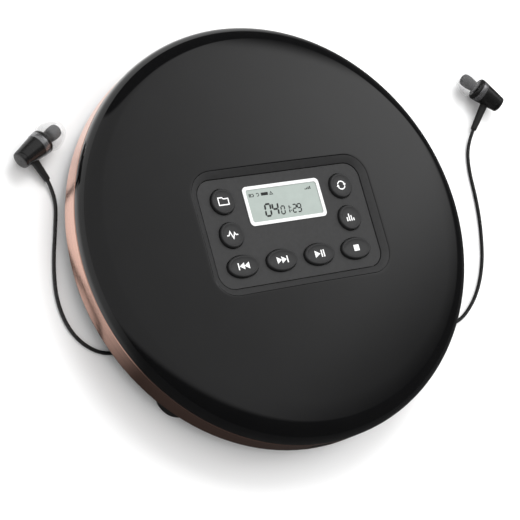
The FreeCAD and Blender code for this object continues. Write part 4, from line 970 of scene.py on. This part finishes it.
# outline as (radius, height above the lens's foot)
LENS_HOLDER = [(2.5, -0.1), (4.4, -0.1), (4.4, 0.35), (4.1, 0.5), (2.7, 0.5), (2.5, 0.35)]
HOLDER_STEPS = 48


def lens_trim():
    """Dark holder round the pickup's lens."""
    low, high = box_mm("pickup_lens")
    middle = (low + high) / 2
    holder = lathe(lifted(LENS_HOLDER, low.z), HOLDER_STEPS, closed=True)
    finish_piece("lens_holder", holder, "black_plastic", "pickup", (),
                 Matrix.Translation((middle.x, middle.y, 0)))


# ---------------------------------------------------------------- earphones
EAR_HEIGHT = 5.1
# side, back of the housing, heading in degrees, end of the stem
EARPHONES = [
    ("left", Vector((-77.6, 36.2, EAR_HEIGHT)), 31.0, Vector((-68.6, 30.4, 1.5))),
    ("right", Vector((112.8, 36.6, EAR_HEIGHT)), 137.5, Vector((100.9, 29.8, 1.6))),
]
# outlines as (radius, distance along the earphone from its back); the stem's is from its root
HOUSING_PROFILE = [
    (0, 0), (2.2, 0), (2.56, 0.07), (2.8, 0.24), (2.92, 0.54), (2.96, 1.03), (2.81, 1.13),
    (2.81, 1.32), (3.01, 1.45), (3.37, 4.1), (3.72, 6.9), (3.84, 7.86), (3.76, 7.94), (3.76, 9.92),
    (4.06, 10.0), (4.11, 10.35), (4.04, 10.75), (3.8, 11.07), (3.44, 11.25), (3.07, 11.34),
    (2.33, 11.34), (2.14, 11.45), (2.05, 11.77), (0, 11.77),
]
RING_PROFILE = [(3.72, 7.96), (3.88, 7.96), (3.95, 8.06), (4.06, 9.78), (4.03, 9.9), (3.72, 9.9)]
CORE_PROFILE = [(0, 11.7), (1.8, 11.7), (1.9, 12.1), (2.1, 13.2), (2.3, 14.9), (2.25, 16.3),
                (2.0, 17.1), (1.5, 17.5), (1.0, 17.6), (0.95, 17.1), (0, 17.1)]
TIP_PROFILE = [
    (2.6, 11.85), (3.3, 11.8), (4.2, 11.9), (4.7, 12.2), (4.92, 12.75), (4.95, 13.4), (4.8, 14.4),
    (4.45, 15.55), (3.95, 16.7), (3.35, 17.65), (2.75, 18.35), (2.2, 18.7), (1.75, 18.75),
    (1.5, 18.45), (1.75, 18.15), (2.35, 17.75), (3.0, 17.1), (3.55, 16.1), (4.0, 15.05),
    (4.25, 14.0), (4.35, 13.15), (4.2, 12.6), (3.8, 12.35), (3.15, 12.3), (2.6, 12.35),
]
STEM_PROFILE = [(0, 0), (1.5, 0), (1.44, 1.6), (1.4, 1.75), (1.4, 2.0), (1.37, 2.15), (1.2, 6.0),
                (1.08, 8.0), (1.05, 8.45), (0.95, 8.7), (0.7, 8.8), (0, 8.8)]
# the stem's root: how far along the earphone and how high; and how far it runs over the cord
STEM_ALONG = 5.0
STEM_HEIGHT = 3.7
STEM_OVERLAP = 0.4
STEM_STEPS = 40


def along_place(start, way):
    """Place with local Z along a way from a start."""
    return Matrix.Translation(start) @ way.to_track_quat("Z", "Y").to_matrix().to_4x4()


def earphones():
    """Housing with its bright ring, dark core and clear tip, and the stem of each earphone."""
    pieces = {}
    for side, back, heading, stem_end in EARPHONES:
        turn = math.radians(heading)
        forward = Vector((math.cos(turn), math.sin(turn), 0))
        place = along_place(back, forward)
        housing = finish_piece(side + "_barrel", lathe(HOUSING_PROFILE), "ear_black", "base",
                               (side + "_housing",), place)
        ring = finish_piece(side + "_ring", lathe(RING_PROFILE, closed=True), "ear_ring", "base",
                            (), place)
        core = finish_piece(side + "_core", lathe(CORE_PROFILE), "ear_core", "base", (),
                            place)
        tip = finish_piece(side + "_ear_tip", lathe(TIP_PROFILE, closed=True), "silicone", "base",
                           (side + "_tip",), place)
        inside = back + forward * STEM_ALONG
        root = Vector((inside.x, inside.y, STEM_HEIGHT))
        way = stem_end - root
        stretch = (way.length + STEM_OVERLAP) / STEM_PROFILE[-1][1]
        profile = [(radius, height * stretch) for radius, height in STEM_PROFILE]
        stem = finish_piece(side + "_strain_relief", lathe(profile, STEM_STEPS), "rubber", "base",
                            (side + "_stem",), along_place(root, way))
        pieces[side] = [housing, ring, core, tip, stem]
    return pieces


# ---------------------------------------------------------------- plug
# the ribs stand on the grip's outer face, one pitch after another along it
GRIP_FACE = 73.9
RIB_COUNT = 4
RIB_HALF = 1.25
RIB_FIRST = 1.0
RIB_PITCH = 1.6
RIB_WIDE = 0.7
RIB_LOW = -0.1
RIB_HIGH = 0.14


def plug():
    """Four finger ribs on the outer face of the plug's grip."""
    ribs = bmesh.new()
    for step in range(RIB_COUNT):
        along = RIB_FIRST + RIB_PITCH * step
        join(ribs, raised([bar(-RIB_HALF, along, RIB_HALF, along + RIB_WIDE)], RIB_LOW, RIB_HIGH))
    outwards = Matrix(((0, 0, 1, GRIP_FACE), (0, 1, 0, 0), (1, 0, 0, SOCKET_HEIGHT), (0, 0, 0, 1)))
    return finish_piece("plug_ribs", ribs, "rubber", "base", (), outwards)


# ---------------------------------------------------------------- cords
# each cord's points from the plug or earphone to the coil, and from the coil to the splitter
LEFT_ROUTE = [(-68.6, 30.4, 1.5), (-66.7, 24.6, 0.8), (-69.6, 14.5, 0.7), (-73.4, 2.5, 0.7),
              (-75.2, -9.5, 0.7), (-72.4, -20.6, 0.7), (-64.2, -27.6, 0.7), (-53.6, -26.4, 0.7),
              (-42.8, -22.2, 0.7), (-30.6, -19.0, 0.7)]
LEFT_END = [(-5.7, -5.9, 0.7), (-3.7, -6.5, 0.7), (-1.7, -5.8, 0.75), (-0.8, -4.4, 0.85),
            (-0.7, -3.5, 0.9)]
RIGHT_ROUTE = [(100.9, 29.8, 1.6), (96.6, 24.4, 0.8), (94.0, 15.2, 0.7), (93.4, 4.0, 0.7),
               (91.3, -8.2, 0.7), (87.0, -21.4, 0.7), (79.2, -32.6, 0.7), (68.2, -39.7, 0.7),
               (57.0, -36.6, 0.7), (47.4, -29.4, 0.7), (36.2, -25.2, 0.7), (27.6, -16.4, 0.7)]
RIGHT_END = [(-2.1, -9.0, 0.7), (-0.2, -8.2, 0.7), (0.75, -6.5, 0.75), (0.7, -4.8, 0.85),
             (0.7, -3.5, 0.9)]
LEAD_ROUTE = [(72.1, 13.0, 8.55), (72.0, 19.6, 8.1), (71.4, 26.8, 5.4), (68.2, 33.2, 2.6),
              (61.4, 36.0, 1.2), (53.4, 32.6, 1.0), (45.8, 26.6, 1.3), (36.8, 23.4, 1.8),
              (28.6, 17.4, 2.1)]
LEAD_END = [(5.07, 7.19, 2.1), (3.02, 7.52, 2.0), (1.13, 6.68, 1.8), (0.0, 4.94, 1.6),
            (0.0, 3.5, 1.5)]
TURN_POINTS = 16
# the coiled part of each cord: start angle, start radius, steps, pitch and height
LEAD_COIL = (26, 20.3, 97, 1.9, 2.15)
LEFT_COIL = (214, 18.6, 64, 2.6, 0.7)
RIGHT_COIL = (336, 19.0, 60, 2.6, 0.7)
LEAD_DIAMETER = 1.7
BRANCH_DIAMETER = 1.2


def coil_turns(start_angle, start_radius, steps, pitch, height):
    """Points of a flat spiral that winds inwards anticlockwise, a pitch nearer each turn."""
    points = []
    for place in range(steps + 1):
        angle = math.radians(start_angle) + FULL_TURN * place / TURN_POINTS
        radius = start_radius - pitch * place / TURN_POINTS
        points.append((radius * math.cos(angle), radius * math.sin(angle), height))
    return points


def cord_curve(name, points, diameter, replaced):
    """Smooth round cord along one open NURBS spline with these control points in millimetres."""
    data = bpy.data.curves.new(name, "CURVE")
    data.dimensions = "3D"
    data.bevel_depth = diameter * MM / 2
    data.bevel_resolution = 5
    data.resolution_u = 8
    data.use_fill_caps = True
    spline = data.splines.new("NURBS")
    spline.points.add(len(points) - 1)
    for place, point in zip(spline.points, points):
        place.co = (*(Vector(point) * MM), 1)
    spline.order_u = 3
    spline.use_endpoint_u = True
    data.materials.append(MATERIALS["cord"])
    piece = bpy.data.objects.new(name, data)
    scene.collection.objects.link(piece)
    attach(piece, "base")
    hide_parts(*replaced)
    return piece


def add_cords(ears, plug_trim):
    """Lead from the plug to the splitter, and a branch from the splitter to each earphone."""
    lead = cord_curve("lead_line", LEAD_ROUTE + coil_turns(*LEAD_COIL) + LEAD_END, LEAD_DIAMETER,
                      ("cord_lead", "cord_coil"))
    branches = (("left", LEFT_ROUTE, LEFT_COIL, LEFT_END, 0.45),
                ("right", RIGHT_ROUTE, RIGHT_COIL, RIGHT_END, 0.47))
    for side, route, coil, end, length in branches:
        points = list(reversed(route + coil_turns(*coil) + end))
        branch = cord_curve(side + "_line", points, BRANCH_DIAMETER, ("cord_" + side,))


# ---------------------------------------------------------------- build
paint_cad()
add_camera()
add_stage()
lid_cover()
lid_fittings()
keys()
display_marks()
side_trim()
turntable_trim()
lens_trim()
screws("base_screws", *BASE_SCREWS, "base", False)
screws("deck_screws", *DECK_SCREWS, "base", True)
add_cords(earphones(), plug())
